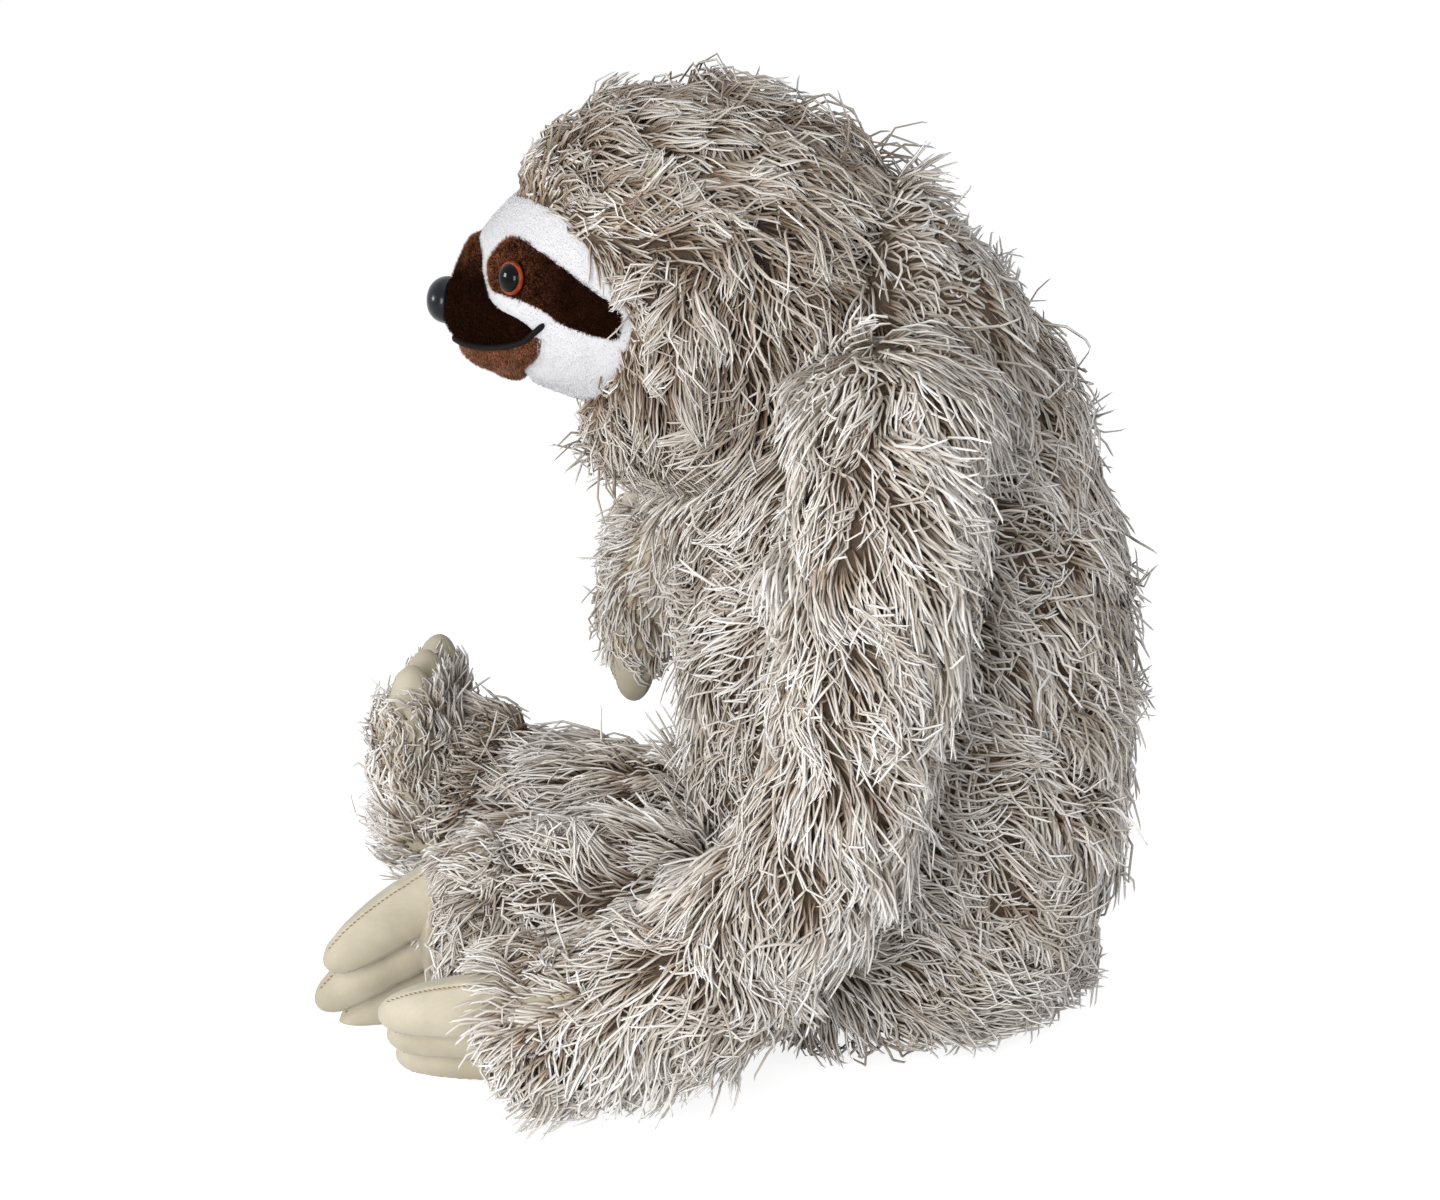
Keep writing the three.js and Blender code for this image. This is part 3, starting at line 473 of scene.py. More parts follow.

# Long pile
# Yarn-like strands knitted into the backing: brown at their roots, partly as painted shade down in the pile, cream at
# their tips, lying in locks that all run the way the part was brushed. Each strand is a closed tapering tube of three
# sides.
strand_rings = np.array([0, 0.22, 0.46, 0.7, 0.93])
strand_girth = np.array([0.8, 1, 1, 0.97, 0.7])
lock_size, lock_reach, root_depth = 26, 16, 1.5
most_strands = 6900  # in one piece, at 28 triangles each


def triangle_areas(points, faces):
    a, b, c = (points[faces[:, k]] for k in range(3))
    return np.linalg.norm(np.cross(b - a, c - a), axis=1) / 2


def scatter(points, normals, faces, count, rng):
    """Random points on triangles, spread evenly over their area, with their smooth normals."""
    area = triangle_areas(points, faces)
    chosen = rng.choice(len(faces), count, p=area / area.sum())
    u, v = rng.random(count), rng.random(count)
    over = u + v > 1
    u[over], v[over] = 1 - u[over], 1 - v[over]
    shares = np.stack([1 - u - v, u, v], 1)[:, :, None]
    return (points[faces[chosen]] * shares).sum(1), unit((normals[faces[chosen]] * shares).sum(1))


def surface_points(obj, count, rng):
    """Random points on an object's mesh, with their smooth normals."""
    obj.data.calc_loop_triangles()
    corners = np.empty(len(obj.data.loop_triangles) * 3, np.int32)
    obj.data.loop_triangles.foreach_get("vertices", corners)
    return scatter(vertex_array(obj), vertex_array(obj, "normal"), corners.reshape(-1, 3), count, rng)


def waves(points, length, rng):
    """A smooth field of about -1 to 1 that varies over the given length, in mm."""
    total = np.zeros(len(points))
    for _ in range(5):
        turn = unit(rng.normal(size=3)) * 2 * math.pi / (length * mm * rng.uniform(0.7, 1.5))
        total += np.sin(points @ turn + rng.uniform(0, 6.28))
    return total / math.sqrt(5)


def strand_mesh(name, centre, side, rise, radius, shade, brown=1.0):
    """Closed three-sided strands through the given ring centres and a tip, as one mesh with its shades.
    centre is (strands, rings + 1, 3); side and rise span each ring; radius is (strands, rings); brown
    above 1 carries the roots' colour further up."""
    strands, rings = radius.shape
    per = rings * 3 + 1
    co = np.empty((strands, per, 3))
    for k in range(3):
        turn = 2 * math.pi * k / 3
        spoke = side * math.cos(turn) + rise * math.sin(turn)
        co[:, k:rings * 3:3] = centre[:, :rings] + spoke * radius[:, :, None]
    co[:, -1] = centre[:, -1]
    last = (rings - 1) * 3
    faces = [(low + k, low + (k + 1) % 3, low + 3 + (k + 1) % 3, low + 3 + k)
             for low in range(0, last, 3) for k in range(3)]
    faces += [(last + k, last + (k + 1) % 3, last + 3) for k in range(3)] + [(2, 1, 0)]
    loops = np.concatenate(faces)
    starts = np.cumsum([0] + [len(face) for face in faces[:-1]])
    strand = np.arange(strands)[:, None]
    index = (strand * per + loops).ravel()
    first = (strand * len(loops) + starts).ravel()
    mesh = bpy.data.meshes.new(name)
    mesh.vertices.add(strands * per)
    mesh.vertices.foreach_set("co", co.ravel())
    mesh.loops.add(len(index))
    mesh.loops.foreach_set("vertex_index", index.astype(np.int32))
    mesh.polygons.add(len(first))
    mesh.polygons.foreach_set("loop_start", first.astype(np.int32))
    mesh.polygons.foreach_set("use_smooth", np.ones(len(first), bool))
    mesh.update(calc_edges=True)
    along = np.append(np.repeat(strand_rings[:rings], 3), 1.0) ** brown
    step = np.append(np.tile([0, 0.012, 0.024], rings), 0.012)
    shades = shade[:, None] * 0.97 + step[None]
    alongs = np.tile(along, (strands, 1))
    for key, values in (("shade", shades), ("along", alongs)):
        mesh.attributes.new(key, "FLOAT", "POINT").data.foreach_set("value", values.ravel().astype(np.float32))
    chart = np.stack([shades.ravel()[index], alongs.ravel()[index]], 1)
    mesh.uv_layers.new(name="OFBake").data.foreach_set("uv", chart.ravel().astype(np.float32))
    return mesh


def pile_material(name, dark, light, roughness, sheen):
    """Strand colour from root to tip, for the darkest and the lightest strands, mixed by shade.
    Each ramp is a list of (place along the strand, colour)."""
    material, tree, output = new_tree(name)
    shade = add_node(tree, "Attribute", {"attribute_name": "shade"})
    along = add_node(tree, "Attribute", {"attribute_name": "along"})
    ramps = [colour_ramp(tree, along.outputs["Fac"], *stops) for stops in (dark, light)]
    mixed = add_node(tree, "Mix", {"data_type": "RGBA"}, _0=shade.outputs["Fac"], _6=ramps[0], _7=ramps[1])
    finish(tree, output, Base_Color=mixed.outputs[2], Roughness=roughness, Specular_IOR_Level=2.5 * sheen,
           Sheen_Weight=sheen, Sheen_Roughness=0.5)
    return material


# The ramps' dark roots are partly painted shade, the shadow down between the strands.
yarn = pile_material(
    "yarn_pile",
    [(0, "48362a"), (0.22, "6f5b49"), (0.5, "9d9080"), (1, "bdb5ab")],
    [(0, "66513f"), (0.2, "a8947d"), (0.42, "e2dbd2"), (1, "fcfbf9")],
    0.6, 0.1)

depsgraph = bpy.context.evaluated_depsgraph_get()
forms = {part: BVHTree.FromObject(backing, depsgraph) for part, backing in backings.items()}


def depth_inside(form, points):
    """How far each point lies inside a closed form, in metres; negative outside."""
    depth = np.empty(len(points))
    for k, point in enumerate(points):
        near, normal, _, gap = form.find_nearest(Vector(point))
        depth[k] = gap if (Vector(point) - near).dot(normal) < 0 else -gap
    return depth


def grow_pile(part, count, comb, seed, long=40, keep=None, short=None, lean=52, tag="", lift=0, ground=None,
              tone=0.5, crimp=1, stop=None, gather=0.6, brown=1.0, fine=1.0, loose=0.045):
    """Long pile over one part's backing, or over ground. comb gives the way it is brushed at points with
    normals, keep which roots are there, and short the share of its full length that it has there and how
    many degrees flatter it lies. long and lift are in mm; lean is how far from the normal the strands
    start, in degrees; tone is how light they are, crimp how wavy, stop a point and direction past which
    none reaches, gather how far they bend to their lock's tip, brown how far the roots' colour goes up,
    fine how thick they are, and loose the share that go their own way."""
    rng = np.random.default_rng(seed)
    root, normal = surface_points(ground or backings[part], count, rng)
    wanted = np.ones(count, bool) if keep is None else keep(root, normal)
    wanted &= (root[:, 2] > 4 * mm) & ~((root[:, 2] < 16 * mm) & (normal[:, 2] < -0.75))
    for other, form in forms.items():
        if other != part:
            wanted[wanted] = depth_inside(form, root[wanted]) < 1 * mm
    root, normal = root[wanted], normal[wanted]
    count = len(root)
    root = root + normal * (lift * mm * rng.uniform(0.6, 1, count))[:, None]
    flow = across(comb(root, normal), normal)
    cross = np.cross(normal, flow)

    # Locks: every strand lies the way of its nearest lock and gathers towards that lock's tip.
    locks = rng.choice(count, max(1, count // lock_size), replace=False)
    finder = KDTree(len(locks))
    for k, lock in enumerate(locks):
        finder.insert(root[lock], k)
    finder.balance()
    nearest = np.array([finder.find(point)[1] for point in root])

    def of_lock(spread):
        return rng.normal(0, spread, len(locks))[nearest]

    turn = 0.42 * waves(root, 85, rng) + 0.34 * waves(root, 38, rng) + of_lock(0.2) + rng.normal(0, 0.08, count)
    stray = rng.random(count) < loose
    turn += np.where(stray, rng.normal(0, 0.8, count), 0)
    heading = unit(flow * np.cos(turn)[:, None] + cross * np.sin(turn)[:, None])
    sideways = np.cross(normal, heading)
    size = long * mm * rng.uniform(0.75, 1.1, count) * (1 + of_lock(0.12))
    flatter = 0
    if short is not None:
        share, flatter = short(root, normal)
        size *= share
    tilt = np.radians(np.minimum(lean + flatter + 6 * waves(root, 60, rng) + of_lock(8)
                                 + rng.normal(0, 6, count), 84))
    tip_tilt = np.radians(98 + of_lock(9) + rng.normal(0, 9, count) - 14 * stray)
    curl = 0.75 * waves(root, 42, rng) + of_lock(0.6) + rng.normal(0, 0.22, count) * (1 + 3 * stray)
    swing = crimp * (1 + 0.4 * waves(root, 70, rng)) * np.abs(0.42 + of_lock(0.16) + rng.normal(0, 0.14, count))
    beat = 2 * math.pi * (1.05 + of_lock(0.22) + rng.normal(0, 0.1, count))
    phase = of_lock(2) + rng.normal(0, 0.5, count)
    t = np.append(strand_rings, 1.0)
    steps = [root - normal * root_depth * mm]
    for low, high in zip(t[:-1], t[1:]):
        middle = (low + high) / 2
        yaw = curl * (middle - 0.42) * 2 + swing * np.sin(beat * middle + phase)
        pitch = tilt + (tip_tilt - tilt) * min(1, 1.35 * middle) + 0.5 * swing * np.cos(beat * middle + 1.7 * phase)
        level = heading * np.cos(yaw)[:, None] + sideways * np.sin(yaw)[:, None]
        aim = normal * np.cos(pitch)[:, None] + level * np.sin(pitch)[:, None]
        aim[:, 2] -= 0.16 * middle
        steps.append(steps[-1] + unit(aim) * size[:, None] * (high - low))
    path = np.stack(steps, 1)
    t = t[None, :, None]
    pull = path[locks[nearest], -1] - path[:, -1]
    reach = np.linalg.norm(pull, axis=1)
    pull *= (rng.uniform(0.25 * gather, gather, count)
             * np.clip(1.6 - reach / (lock_reach * mm), 0, 1) * ~stray)[:, None]
    path = path + pull[:, None] * t ** 2
    # Nothing reaches past the size limit in front, and the lowest strands lie flat on the floor.
    front, floor_gap = -296 * mm, 1.2 * mm
    y, z = path[:, :, 1], path[:, :, 2]
    path[:, :, 1] = np.maximum(y, front + 0.1 * (y - front))
    path[:, :, 2] = np.where(z < floor_gap, floor_gap + 0.04 * np.abs(z), z)
    if stop is not None:
        place, way = np.array(stop[0]) * mm, unit(np.array(stop[1]))
        room, ahead = (place - root) @ way, (path[:, -1] - root) @ way
        share = np.where(ahead > room, np.clip(room / np.maximum(ahead, 0.1 * mm), 0, 1), 1)
        path = root[:, None] + (path - root[:, None]) * share[:, None, None]
        held = share > 0.35
        root, normal, path, nearest, count = root[held], normal[held], path[held], nearest[held], held.sum()

    tangent = np.empty_like(path[:, :-1])
    tangent[:, 1:] = path[:, 2:] - path[:, :-2]
    tangent[:, 0] = path[:, 1] - path[:, 0]
    tangent = unit(tangent)
    side = unit(np.cross(tangent, normal[:, None] + 0.01))
    rise = np.cross(side, tangent)
    radius = strand_girth[None] * (fine * rng.uniform(0.6, 0.86, count) * mm)[:, None]
    shade = tone + 0.24 * rng.normal(size=count) + of_lock(0.08) + 0.06 * waves(root, 50, rng)
    shade = np.clip(shade, 0, 1)
    order = np.argsort(root[:, 2] + 0.6 * root[:, 1])
    for number, some in enumerate(np.array_split(order, math.ceil(count / most_strands))):
        name = f"{part}_pile{tag}_{number + 1}"
        mesh = strand_mesh(name, path[some], side[some], rise[some], radius[some], shade[some], brown)
        piece_of(name, mesh, yarn, None, part, "long_pile")


down = np.array([0, 0, -1.0])


def body_comb(point, normal):
    """Down the body, parted along its sides: backwards behind the parting and forwards before it."""
    parted = np.tanh((point[:, 1] + 32 * mm) / (30 * mm))
    drop = 0.75 - 0.5 * np.clip(point[:, 2] / (450 * mm), 0, 1)
    return down * drop[:, None] + np.array([0, 0.75, 0]) * parted[:, None]


def along_limb(table, droop, spread):
    """Brushed towards the cuff along a limb's middle line, drooping, and parted 20 mm inside its bend."""
    line = np.array(table) * mm
    steps = unit(np.diff(line, axis=0))
    middles = (line[1:] + line[:-1]) / 2

    def comb(point, normal):
        gaps = np.linalg.norm(point[:, None] - middles[None], axis=2)
        weight = np.exp(-(gaps - gaps.min(1, keepdims=True)) / (15 * mm))[:, :, None]
        weight /= weight.sum(1, keepdims=True)
        aim = unit((weight * steps[None]).sum(1))
        middle = (weight * middles[None]).sum(1)
        outer = unit(np.stack([np.zeros(len(aim)), -aim[:, 2], aim[:, 1]], 1))
        offset = ((point - middle) * outer).sum(1) + 20 * mm
        share = np.tanh(offset / (20 * mm))[:, None]
        return aim + droop * down + spread * outer * share

    return comb


def limb_end(table):
    """Where a limb's middle line ends, and which way it goes there."""
    end = np.array(table[-1]) * mm
    return end, unit(end - np.array(table[-2]) * mm)


def short_of_cuff(table):
    """Leaves out the flat end of a limb, where the canvas paw closes it."""
    end, aim = limb_end(table)
    return lambda point, normal: ~(((point - end) @ aim > -14 * mm) & (normal @ aim > 0.6))


limb_lines = {
    "arm_left": [(61.7, 10, 330), (117, 10, 330.5), (147.4, 9.4, 287.4), (153.1, 5.1, 232.6), (152.6, -4.6, 178.2),
                 (152.3, -24.7, 127), (151.3, -61.4, 86.1), (148.7, -108.8, 57.9), (145.4, -161.8, 43.9)],
    "arm_right": [(-61.7, 10, 330), (-127.4, 11.5, 326.6), (-165.6, 30.7, 278.1), (-174.8, 47.6, 214.7),
                  (-175.9, 54.7, 148.6), (-174.1, 18.2, 97.9), (-174.1, -44, 116.3), (-174.2, -92.1, 162.2),
                  (-171.2, -149.7, 175.5)],
    "leg_left": [(53.5, -63, 74), (53.5, -100, 74), (53.5, -136.9, 73), (53.5, -172.2, 62.1), (53.5, -208.8, 59.1)],
    "leg_right": [(-53.5, -63, 74), (-53.5, -111.1, 74), (-63.1, -157.2, 73), (-77.7, -203, 74.2),
                  (-84.1, -225.8, 78.1), (-87.7, -247.5, 87.6)],
}


def close_at_nape(point, normal):
    """Shorter and flatter where the back meets the hood."""
    nape = np.clip((point[:, 2] - 345 * mm) / (40 * mm), 0, 1)
    return 1 - 0.28 * nape, 12 * nape


grow_pile("body", 13500, body_comb, 11, lean=57, short=close_at_nape, tone=0.43, crimp=0.8, gather=0.45,
          brown=0.9)


def on_flanks(point, normal):
    """The sides behind the arms and the nape, where the pile is thickest."""
    return (np.abs(point[:, 0]) > 45 * mm) & (point[:, 1] > 0) | (point[:, 2] > 335 * mm)


grow_pile("body", 5500, body_comb, 12, long=38, lean=68, keep=on_flanks, short=close_at_nape, tag="_flank",
          tone=0.45, crimp=0.8, gather=0.3, brown=0.9, loose=0.02)


def cuff_ring(table):
    """Keeps only the last stretch of a limb, where the pile hangs over the paw."""
    end, aim = limb_end(table)

    def keep(point, normal):
        along = (point - end) @ aim
        return (along > -30 * mm) & ~((along > -9 * mm) & (normal @ aim > 0.75))

    return keep


for seed, (part, count, droop, spread, over, stop) in enumerate((
    ("arm_left", 9000, 0.3, 1.0, 36, ((145, -172, 50), (-0.07, -0.9, -0.42))),
    ("arm_right", 5900, 0.2, 0.5, 36, None),
    ("leg_left", 3600, 0.2, 0.5, 30, ((53, -212, 60), (0, -1, 0))),
    ("leg_right", 4800, 0, 0.4, 36, None),
)):
    line = limb_lines[part]
    grow_pile(part, count, along_limb(line, droop, spread), 21 + seed, keep=short_of_cuff(line), crimp=0.8,
              stop=stop)
    grow_pile(part, 6000, along_limb(line, 0.1, 0.1), 61 + seed, keep=cuff_ring(line), lean=66, long=over,
              tag="_cuff", lift=8 if over > 30 else 2, crimp=1.5, stop=stop)


# The pile also covers the claws' roots; on the far hand and foot it hides all but their last 30 mm.
def claw_roots(base, aim, most):
    return lambda point, normal: (point - np.array(base) * mm) @ unit(np.array(aim)) < most * mm


def one_way(way):
    return lambda point, normal: np.array(way) + np.zeros_like(point)


for part, most, way, count in (("arm_left", 24, (0.2, -1, -0.5), 800), ("leg_left", 14, (0.1, -1, 0), 2000),
                               ("arm_right", 60, (0, 0, -0.3), 600), ("leg_right", 62, (0, -0.2, 0.5), 850)):
    for number, (base, aim) in enumerate(claw_rows[part]):
        ground = bpy.data.objects[f"{part}_claw_{number + 1}_canvas"]
        grow_pile(part, count, one_way(way), 91 + number, long=24, lean=45, keep=claw_roots(base, aim, most),
                  tag=f"_over_claw_{number + 1}", ground=ground)

# Head pile
# The hood is brushed away from the face, short and close round its edge and long at the back and the beard.
nose_place = np.array([0, -225, 350]) * mm


def head_comb(point, normal):
    """Up and back over the crown; down the cheeks, parted near the middle of the head's sides."""
    gap = face_gap(point)
    rise = (point[:, 2] - head_middle[2]) / (head_size[2] / 2)
    crown = np.clip((rise - 0.2) / 0.25, 0, 1)[:, None]
    beard = np.clip((-0.55 - rise) / 0.2, 0, 1)
    near = np.clip(gap / (34 * mm), 0.3, 1)
    parted = np.tanh((point[:, 1] + 92 * mm) / (22 * mm))[:, None]
    parted = np.where(parted < 0, parted * np.maximum(near, 1.7 * beard)[:, None], parted)
    edge = np.clip(1 - gap / (18 * mm), 0, 1)[:, None]
    outward, back = unit(point - nose_place), np.array([0, 1.0, 0])
    return crown * (1.1 * outward + 0.45 * back) + (1 - crown) * (
        0.9 * down + 0.55 * parted * back + 0.75 * edge * outward)


def short_at_face(point, normal):
    gap = face_gap(point)
    beard = np.clip((head_middle[2] - 36 * mm - point[:, 2]) / (15 * mm), 0, 1)
    near = (1 - np.clip(gap / (30 * mm), 0, 1)) * (1 - beard)
    nape = np.clip((point[:, 1] + 75 * mm) / (20 * mm), 0, 1)
    return 1 - 0.5 * near + 0.15 * beard + 0.5 * nape, 26 * near - 8 * beard


def at_face_edge(point, normal):
    gap = face_gap(point)
    return (gap > -0.6 * mm) & (gap < 13 * mm)


# The hood's strands are drawn darker than the body's, with a lower tone and the roots' brown carried further up:
# painted shade for the hood's dimmer light and deeper shadow.
grow_pile("head", 12800, head_comb, 31, long=39, keep=lambda point, normal: face_gap(point) > 0.3 * mm,
          short=short_at_face, lean=42, tone=0.28, crimp=1.5, gather=0.95, brown=1.45, fine=0.86, loose=0.03)
grow_pile("head", 16000, head_comb, 32, long=30, keep=at_face_edge, short=short_at_face, lean=44, tone=0.4,
          crimp=1.4, tag="_edge", brown=1.2, fine=0.8, loose=0)

# Face panels
# The face is short plush in four colours: a white mask, dark eye patches and muzzle, and a brown chin.
# Each panel is cut to its outline and sewn flat at its edge, so it swells up just inside its seam.
skull_rows = [
    (0, 0.1, 0.1, -0.242), (0.012, 0.2, 0.2, -0.24), (0.035, 0.31, 0.315, -0.225), (0.07, 0.42, 0.425, -0.185),
    (0.115, 0.52, 0.51, -0.14), (0.18, 0.64, 0.63, -0.105), (0.28, 0.79, 0.775, -0.045), (0.41, 0.93, 0.91, 0),
    (0.571, 1, 1, 0), (0.73, 0.97, 0.96, 0), (0.865, 0.83, 0.81, 0),
]
muzzle_tip = head_middle[1] - 0.571 * head_size[1]


def curve_through(rows, steps, closed=False):
    """A smooth run through rows of numbers, with the given steps from each row to the next."""
    rows, out = np.array(rows, float), []
    last = len(rows) - 1
    for k in range(last + closed):
        a, b, c, d = (rows[(k + j) % (last + 1) if closed else min(max(k + j, 0), last)] for j in (-1, 0, 1, 2))
        for step in range(steps + (not closed and k == last - 1)):
            t = step / steps
            out.append(b + t * ((c - a) + t * ((2 * a - 5 * b + 4 * c - d) + t * (3 * (b - c) + d - a))) / 2)
    return np.array(out)


def skull_shell():
    """The smooth skull's points and triangles, from the muzzle's tip to the back of the head."""
    rows, sides = curve_through(skull_rows, 9), 150
    turn = 2 * math.pi * np.arange(sides) / sides
    points = [[0, muzzle_tip - 0.6 * mm, head_middle[2] + rows[0][3] * head_size[2] / 2]]
    for along, side, tall, lift in rows:
        y = muzzle_tip + head_size[1] * along
        for angle in turn:
            points.append([head_size[0] / 2 * side * math.sin(angle), y,
                           head_middle[2] + head_size[2] / 2 * (lift + tall * math.cos(angle))])
    faces = [(0, 1 + k, 1 + (k + 1) % sides) for k in range(sides)]
    for row in range(len(rows) - 1):
        for k in range(sides):
            low, high, after = 1 + row * sides, 1 + (row + 1) * sides, (k + 1) % sides
            faces += [(low + k, high + k, high + after), (low + k, high + after, low + after)]
    return np.array(points), np.array(faces)[:, ::-1]


def point_normals(points, faces):
    normals = np.zeros_like(points)
    corners = points[faces]
    flat = np.cross(corners[:, 1] - corners[:, 0], corners[:, 2] - corners[:, 0])
    for k in range(3):
        np.add.at(normals, faces[:, k], flat)
    return unit(normals)


skull_points, skull_faces = skull_shell()
lip = np.exp(-((skull_points[:, 2] - head_middle[2] + 34 * mm) / (19 * mm)) ** 2
             - ((skull_points[:, 1] - muzzle_tip) / (34 * mm)) ** 2)
skull_points[:, 1] -= 4 * mm * lip
skull_normals = point_normals(skull_points, skull_faces)
skull_tree = BVHTree.FromPolygons([Vector(p) for p in skull_points], [tuple(map(int, f)) for f in skull_faces])


def sunk(outline, depth, width, below):
    """Pulls the skull's surface in along an outline's seam, under the given height."""
    gap = gap_to_outline(outline, skull_points)
    amount = depth * np.exp(-(gap / width) ** 2) * (skull_points[:, 2] < below)
    return skull_points - skull_normals * amount[:, None]


def clipped(points, normals, faces, gap):
    """The part of a surface where gap is below 0, cut along the line where it is 0."""
    points, normals, gap = list(points), list(normals), list(gap)
    cuts, kept = {}, []

    def cut(a, b):
        key = (min(a, b), max(a, b))
        if key not in cuts:
            share = gap[a] / (gap[a] - gap[b])
            cuts[key] = len(points)
            points.append(points[a] + share * (points[b] - points[a]))
            normals.append(normals[a] + share * (normals[b] - normals[a]))
            gap.append(0.0)
        return cuts[key]

    for face in faces:
        ring = []
        for k in range(3):
            a, b = int(face[k]), int(face[(k + 1) % 3])
            if gap[a] < 0:
                ring.append(a)
            if (gap[a] < 0) != (gap[b] < 0):
                ring.append(cut(a, b))
        if len(ring) >= 3:
            kept += [(ring[0], ring[k], ring[k + 1]) for k in range(1, len(ring) - 1)]
    used = sorted({corner for face in kept for corner in face})
    place = {old: new for new, old in enumerate(used)}
    return (np.array([points[k] for k in used]), unit(np.array([normals[k] for k in used])),
            np.array([[place[corner] for corner in face] for face in kept]), np.array([gap[k] for k in used]))


def plush_material(name, dark, light):
    """Short plush: painted flecks of light and shade, for where the nap turns its side or its tip to the light, with
    a soft sheen.
    """
    material, tree, output = new_tree(name)
    both = add_node(tree, "Math", {"operation": "MULTIPLY_ADD"}, _0=noise(tree, 90, 3), _1=0.8,
                    _2=noise(tree, 900)).outputs[0]
    finish(tree, output, both, 0.6, 0.7, Base_Color=colour_ramp(tree, both, (0.6, dark), (1, light)),
           Roughness=0.95, Specular_IOR_Level=0.04)
    return material


def panel(node, outline, side, margin, base, thickness, material, slot):
    """A padded panel of the skull's surface inside an outline, on one side or both; its swell is in mm."""
    gap = gap_to_outline(outline, skull_points) - margin * mm
    if side:
        gap = np.maximum(gap, -side * skull_points[:, 0])
    points, normals, faces, gap = clipped(skull_points, skull_normals, skull_faces, gap)
    swell = base * mm + thickness * mm * np.sqrt(np.clip(-gap / (3.2 * mm), 0, 1))
    outer = points + normals * swell[:, None]
    inner = points - normals * 1.3 * mm
    edges = dict.fromkeys((face[k], face[(k + 1) % 3]) for face in faces for k in range(3))
    count = len(points)
    rim = [(b, a, a + count, b + count) for a, b in edges if (b, a) not in edges]
    shell = [tuple(f) for f in faces] + [tuple(k + count for k in f[::-1]) for f in faces] + rim
    object_of(node + "_plush", np.concatenate([outer, inner]), shell, material, 0.5, "head", slot, node)
    return outer, normals, faces


eye_patch_edge = curve_through(on_face([
    (0.459, 0.065), (0.439, 0.156), (0.4, 0.25), (0.35, 0.255), (0.311, 0.22), (0.228, 0.125), (0.145, 0),
    (0.085, -0.09), (0.07, -0.19), (0.09, -0.3), (0.155, -0.29), (0.232, -0.243), (0.296, -0.156),
    (0.378, -0.108), (0.44, -0.082),
]), 6, closed=True)
mouth_run = np.array(on_face([
    (0.286, -0.25), (0.304, -0.289), (0.319, -0.321), (0.345, -0.371), (0.387, -0.418), (0.426, -0.442),
    (0.463, -0.462), (0.509, -0.468), (0.56, -0.468),
]))
far_lip = np.array(on_face([(0.9, -0.468)]))
muzzle_edge = np.concatenate([
    np.array(on_face([(0.9, 0.185)])),
    curve_through(on_face([(0.52, 0.18), (0.499, 0.155), (0.48, 0.1), (0.475, 0.02), (0.46, -0.07), (0.445, -0.15),
                           (0.41, -0.205), (0.368, -0.235), (0.328, -0.29), (0.319, -0.321)]), 5),
    curve_through(mouth_run[2:], 4)[1:], far_lip,
])
chin_edge = np.concatenate([
    np.array(on_face([(0.9, -1.1), (0.42, -1.1)])),
    curve_through(on_face([(0.405, -0.75), (0.374, -0.6), (0.334, -0.521), (0.318, -0.43), (0.319, -0.33)]), 5),
    curve_through(mouth_run[2:], 4)[1:], far_lip,
])
skull_points = sunk(muzzle_edge, 0.9 * mm, 3 * mm, 1)
skull_points = sunk(chin_edge, 3 * mm, 5 * mm, head_middle[2] - 0.36 * head_size[2] / 2)
skull_normals = point_normals(skull_points, skull_faces)
mask_plush = plush_material("white_short_plush", "c2c1c3", "cbcacc")
dark_plush = plush_material("dark_brown_short_plush", "0d0402", "200c05")
chin_plush = plush_material("brown_short_plush", "40200f", "6f3f2a")

panels = {}
for row in (
    ("face_mask", face_edge, 0, 5, -0.2, 0.7, mask_plush, "white_plush"),
    ("eye_patch_left", eye_patch_edge, 1, 0, 0.2, 1.6, dark_plush, "dark_plush"),
    ("eye_patch_right", eye_patch_edge, -1, 0, 0.2, 1.6, dark_plush, "dark_plush"),
    ("muzzle", muzzle_edge, 0, 0, 0.2, 3.2, dark_plush, "dark_plush"),
    ("chin", chin_edge, 0, 0, 0.2, 3.6, chin_plush, "brown_plush"),
):
    panels[row[0]] = panel(*row)

# Nap
# The plush's cut fibres stand 1 to 2.4 mm out of each panel and hang over its edge.
def grow_nap(node, per_mm, length, width, material, slot, bright, seed):
    """Short fibres over a panel, brushed away from the nose, each a closed three-sided spike."""
    rng = np.random.default_rng(seed)
    points, normals, faces = panels[node]
    count = int(triangle_areas(points, faces).sum() / mm ** 2 * per_mm)
    root, normal = scatter(points, normals, faces, count, rng)
    clear = np.ones(count, bool)
    for spot, radius in bare_spots:
        clear &= np.linalg.norm(root - spot, axis=1) > radius
    root, normal = root[clear], normal[clear]
    count = len(root)
    lay = across(unit(root - nose_place) + 0.3 * down, normal)
    ripple = 0.5 * waves(root, 14, rng)
    lay = unit(lay + np.cross(normal, lay) * ripple[:, None] + rng.normal(0, 0.45, (count, 3)))
    aim = unit(normal * 0.75 + lay * 0.66 + rng.normal(0, 0.16, (count, 3)))
    size = length * mm * rng.uniform(0.7, 1.2, count)
    side = unit(np.cross(aim, normal + 0.01))
    rise = np.cross(side, aim)
    path = np.stack([root - normal * 0.3 * mm, root + aim * size[:, None]], 1)
    # On the eye patches and the muzzle, bright gives painted light: the nap is drawn lighter where it catches the
    # light.
    level = bright(root) if callable(bright) else bright
    shade = np.clip(level * (1 + 0.35 * waves(root, 7, rng) + rng.normal(0, 0.5, count)), 0, 1)
    radius = np.full((count, 1), width * mm)
    name = node + "_nap"
    mesh = strand_mesh(name, path, side[:, None], rise[:, None], radius, shade)
    piece_of(name, mesh, material, None, "head", slot)


